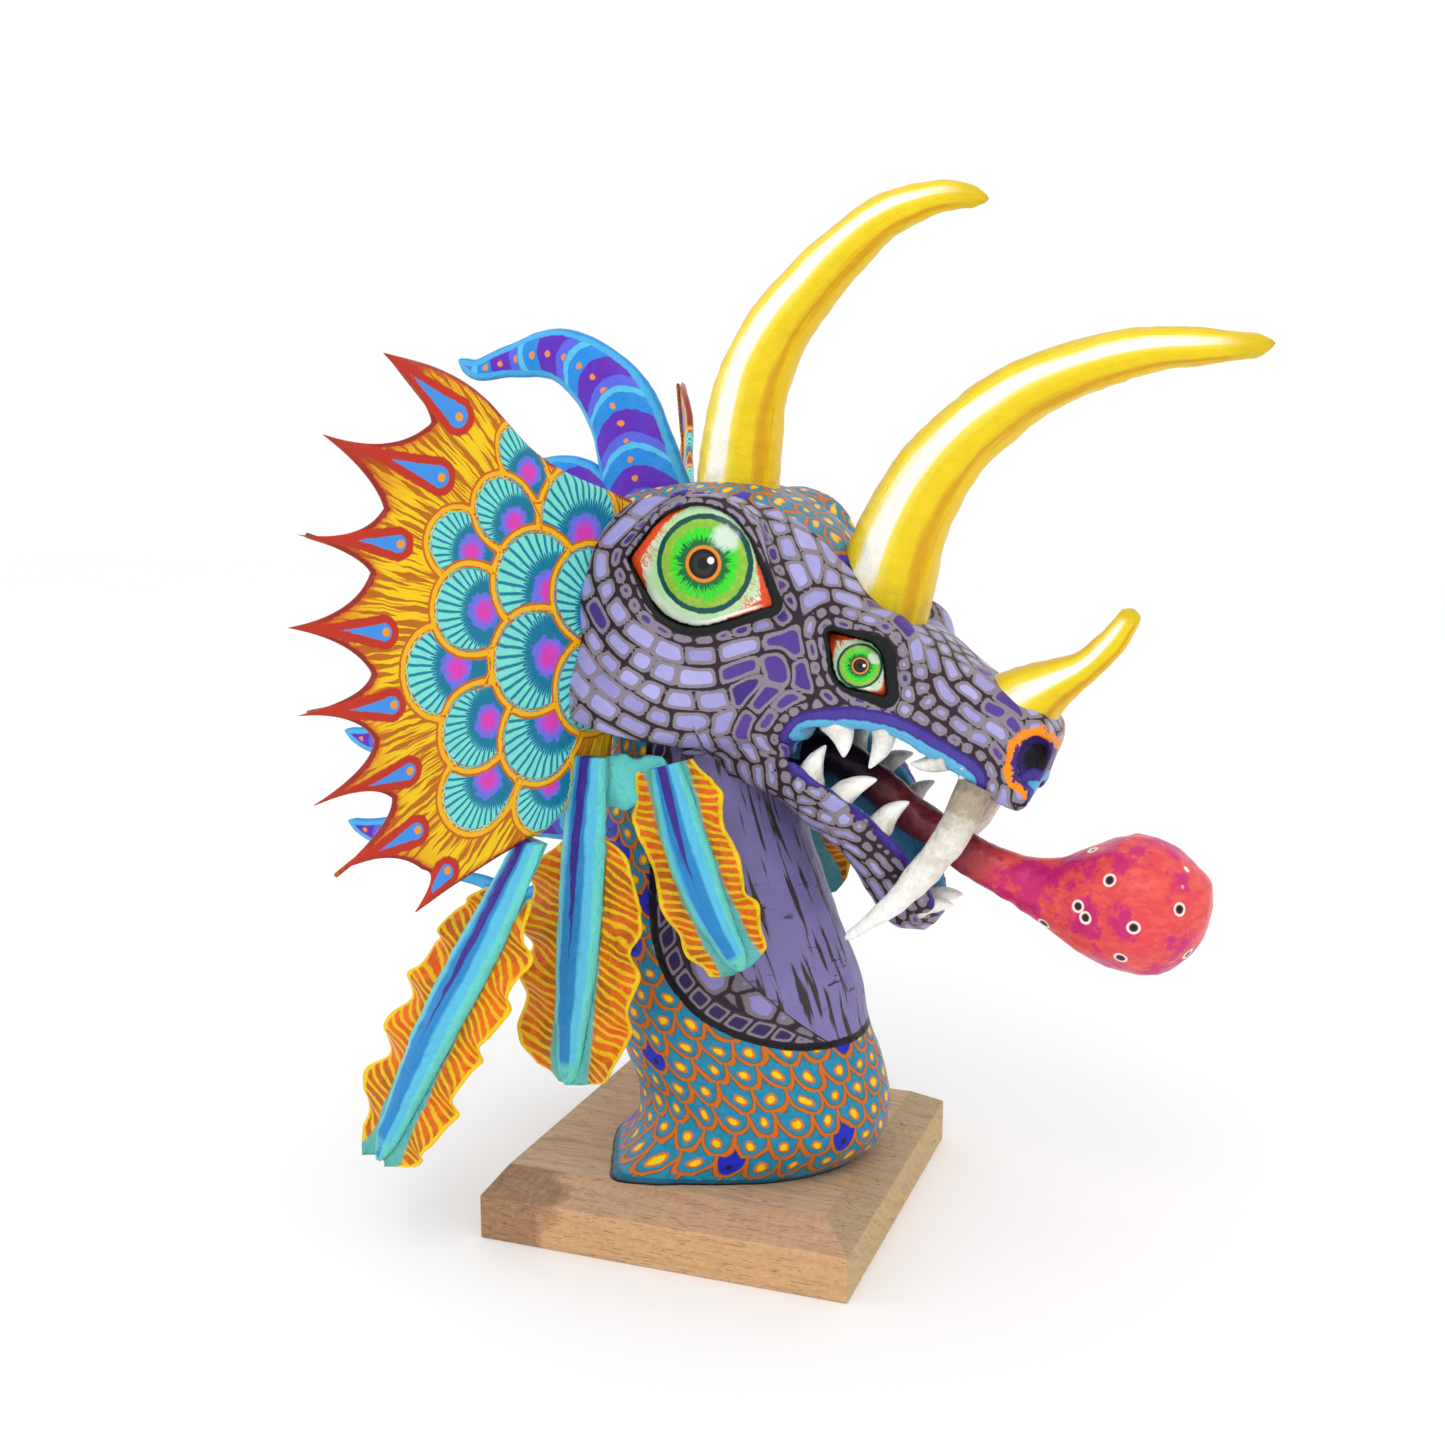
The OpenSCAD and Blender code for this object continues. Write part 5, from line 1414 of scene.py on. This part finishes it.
def plinth_material():
    p = Paint("plinth_wood")
    at = p.vec("co")
    x, y, z = p.split(at)
    warp = p.noise(p.stretch(at, (0.25, 1.0, 1.0)), 40, 2) - 0.5
    ring = (y * 0.9 + z * 1.3 + warp * 44 + x * 0.05)
    grain = p.noise(p.join(x / 60, ring / 2.2, z / 8), 1.0, 4, 0.65)
    late = (ring / 11).fract()
    pores = p.noise(p.stretch(at, (0.10, 1.6, 1.6)), 0.9, 2, 0.6)
    fleck = p.noise(p.stretch(at, (0.5, 1.0, 1.0)), 1.4, 1)
    # The front bevel, the end bevel and the two sides below them each show another cut of the wood.
    front, end = (y + 63.7) * (-1 / 30.3), (x - 71.1) * (1 / 18.9)
    on_front = front.over(end.most(0.0), 0.02)
    on_end = end.over(front.most(0.0), 0.02)
    colour = p.layers(rgb(206, 176, 142), (on_front, rgb(212, 172, 136)), (on_front * z.under(20.6, 0.4),
                                                                           rgb(214, 170, 124)),
                      (on_end, rgb(182, 162, 126)), (on_end * z.under(20.6, 0.4), rgb(204, 178, 130)))
    cross = p.noise(p.stretch(at, (1.0, 0.25, 1.0)), 2.4, 3, 0.6)
    long_grain = p.mix(on_front, grain, cross)
    colour = p.layers(colour, (long_grain.over(0.5, 0.3) * 0.4, rgb(178, 142, 108)),
                      (late.over(0.72, 0.3) * 0.16, rgb(150, 112, 80)),
                      (grain.over(0.62, 0.1) * 0.35, rgb(150, 114, 84)),
                      (pores.over(0.64, 0.04) * 0.55, rgb(136, 102, 76)),
                      (fleck.over(0.71, 0.03) * on_end * 0.8, rgb(96, 76, 52)),
                      (fleck.over(0.74, 0.03) * 0.4, rgb(110, 82, 60)))
    dark = (p.noise(at, 26, 3) + (x + 60) * -0.012).over(0.44, 0.14) * on_front * (x + 5).under(0.0, 30)
    colour = p.layers(p.mottle(colour, at, 45, 0.1), (dark * (0.35 + cross * 0.5), rgb(122, 86, 62)))
    return p.finish(colour, grain * 0.6 - pores.over(0.66, 0.05), 0.25, 0.6)

def hidden_wood():
    p = Paint("inner_pine")
    at = p.node("ShaderNodeTexCoord", {}, "Object")
    grain = p.noise(p.stretch(at, (900.0, 900.0, 60.0)), 1.0, 4, 0.6)
    colour = p.layers(rgb(214, 180, 130), (grain.over(0.5, 0.2) * 0.7, rgb(176, 136, 88)))
    return p.finish(colour, grain, 0.3, 0.65)

def plain_metal(name, colour):
    p = Paint(name)
    at = p.node("ShaderNodeTexCoord", {}, "Object")
    wear = p.noise(at, 0.004, 4, 0.6)
    p.bsdf.inputs["Metallic"].default_value = 0.9
    return p.finish(p.layers(colour, (wear.over(0.52, 0.15) * 0.6, rgb(96, 92, 90))), wear, 0.15, 0.42)

def wrapped_wire():
    p = Paint("wire_wrap")
    at, s = p.vec("co"), p.num("s")
    turns = (s / 3.4).fract().within(0.2, 0.8, 0.3)
    colour = p.layers(rgb(150, 70, 30), (turns * 0.6, rgb(196, 112, 34)), (p.noise(at, 3, 3).over(0.58, 0.1),
                                                                           rgb(90, 74, 60)))
    return p.finish(colour, turns, 0.4, 0.5)

# ------------------------------------------------------------------ camera, light, floor
CAMERA_AT = (0.27071, -0.74319, 0.36932)      # metres
CAMERA_TURN, CAMERA_PITCH = 20.187, 9.4496    # degrees from straight ahead, and downwards
SENSOR, LENS = 36, 41.25                      # mm
LOOKED_AT = (0, 0, 0.25)                      # where the lamps point, metres
FLOOR_HALF, FLOOR_Z = 4000, -0.15             # mm

def camera():
    """Stands at the front right, a little above the figure."""
    cam = bpy.data.cameras.new("camera")
    cam.sensor_width, cam.lens = SENSOR, LENS
    obj = link("camera", cam)
    obj.location = CAMERA_AT
    turn, pitch = math.radians(CAMERA_TURN), math.radians(CAMERA_PITCH)
    obj.rotation_euler = (math.pi / 2 - pitch, 0, turn)
    bpy.context.scene.camera = obj

def lamp(name, place, size, power):
    light = bpy.data.lights.new(name, "AREA")
    light.size, light.energy = size, power
    obj = link(name, light)
    obj.location = place
    obj.rotation_euler = (Vector(place) - Vector(LOOKED_AT)).to_track_quat("Z", "Y").to_euler()

def studio():
    world = bpy.data.worlds.new("studio")
    bpy.context.scene.world = world
    world.use_nodes = True
    background = world.node_tree.nodes["Background"]
    background.inputs["Color"].default_value = (1, 1, 1, 1)
    background.inputs["Strength"].default_value = 1.0
    lamp("key", (0.3, -1.3, 1.5), 0.9, 6)
    lamp("fill", (-1.3, -0.6, 0.9), 1.2, 2)
    p = Paint("paper_sweep")
    spot = p.noise(p.node("ShaderNodeTexCoord", {}, "Object"), 0.3, 3)
    white = p.finish(p.mix(spot, (0.985, 0.985, 0.985, 1), (1.0, 1.0, 1.0, 1)), rough=0.9)
    n = 60
    g = np.linspace(-FLOOR_HALF, FLOOR_HALF, n)
    X, Y = np.meshgrid(g, g)
    Z = FLOOR_Z + 0 * X
    floor = add_mesh("floor", np.stack([X, Y, Z], -1).reshape(-1, 3), grid_faces(n, n))
    floor.data.materials.append(white)
    bpy.context.scene.view_settings.view_transform = "Standard"

def build_all():
    build_head(head_material())
    build_neck(neck_material())
    big, small = eye_material("eye_paint_big", BIG_EYE), eye_material("eye_paint_small", SMALL_EYE)
    for side, word in SIDES.items():
        build_eye("eye_big_%s_dome" % word, "eye_big_" + word, BIG_EYE, side, big)
        build_eye("eye_small_%s_dome" % word, "eye_small_" + word, SMALL_EYE, side, small)
    build_horns(horn_material())
    build_spines(spine_material())
    build_tongue(tongue_material())
    ivory = ivory_material()
    build_tusks(ivory)
    build_teeth(ivory)
    fan, ruffle, ridge = fan_material(), ruffle_material(), ridge_material()
    for side in (RIGHT, LEFT):
        build_fan(side, fan)
        for i in range(3):
            build_ruffle(i, side, ruffle)
            build_ridge(i, side, ridge)
    build_bands(ridge)
    build_fan_wires(wrapped_wire())
    build_plinth(plinth_material())
    for node, material in (("foot_block", hidden_wood()), ("neck_post", hidden_wood()),
                           ("foot_screws", plain_metal("screw_zinc", rgb(186, 188, 190))),
                           ("tongue_wire", plain_metal("tongue_wire_steel", rgb(110, 110, 112)))):
        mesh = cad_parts[node].data
        mesh.materials.clear()
        mesh.materials.append(material)

build_all()
camera()
studio()
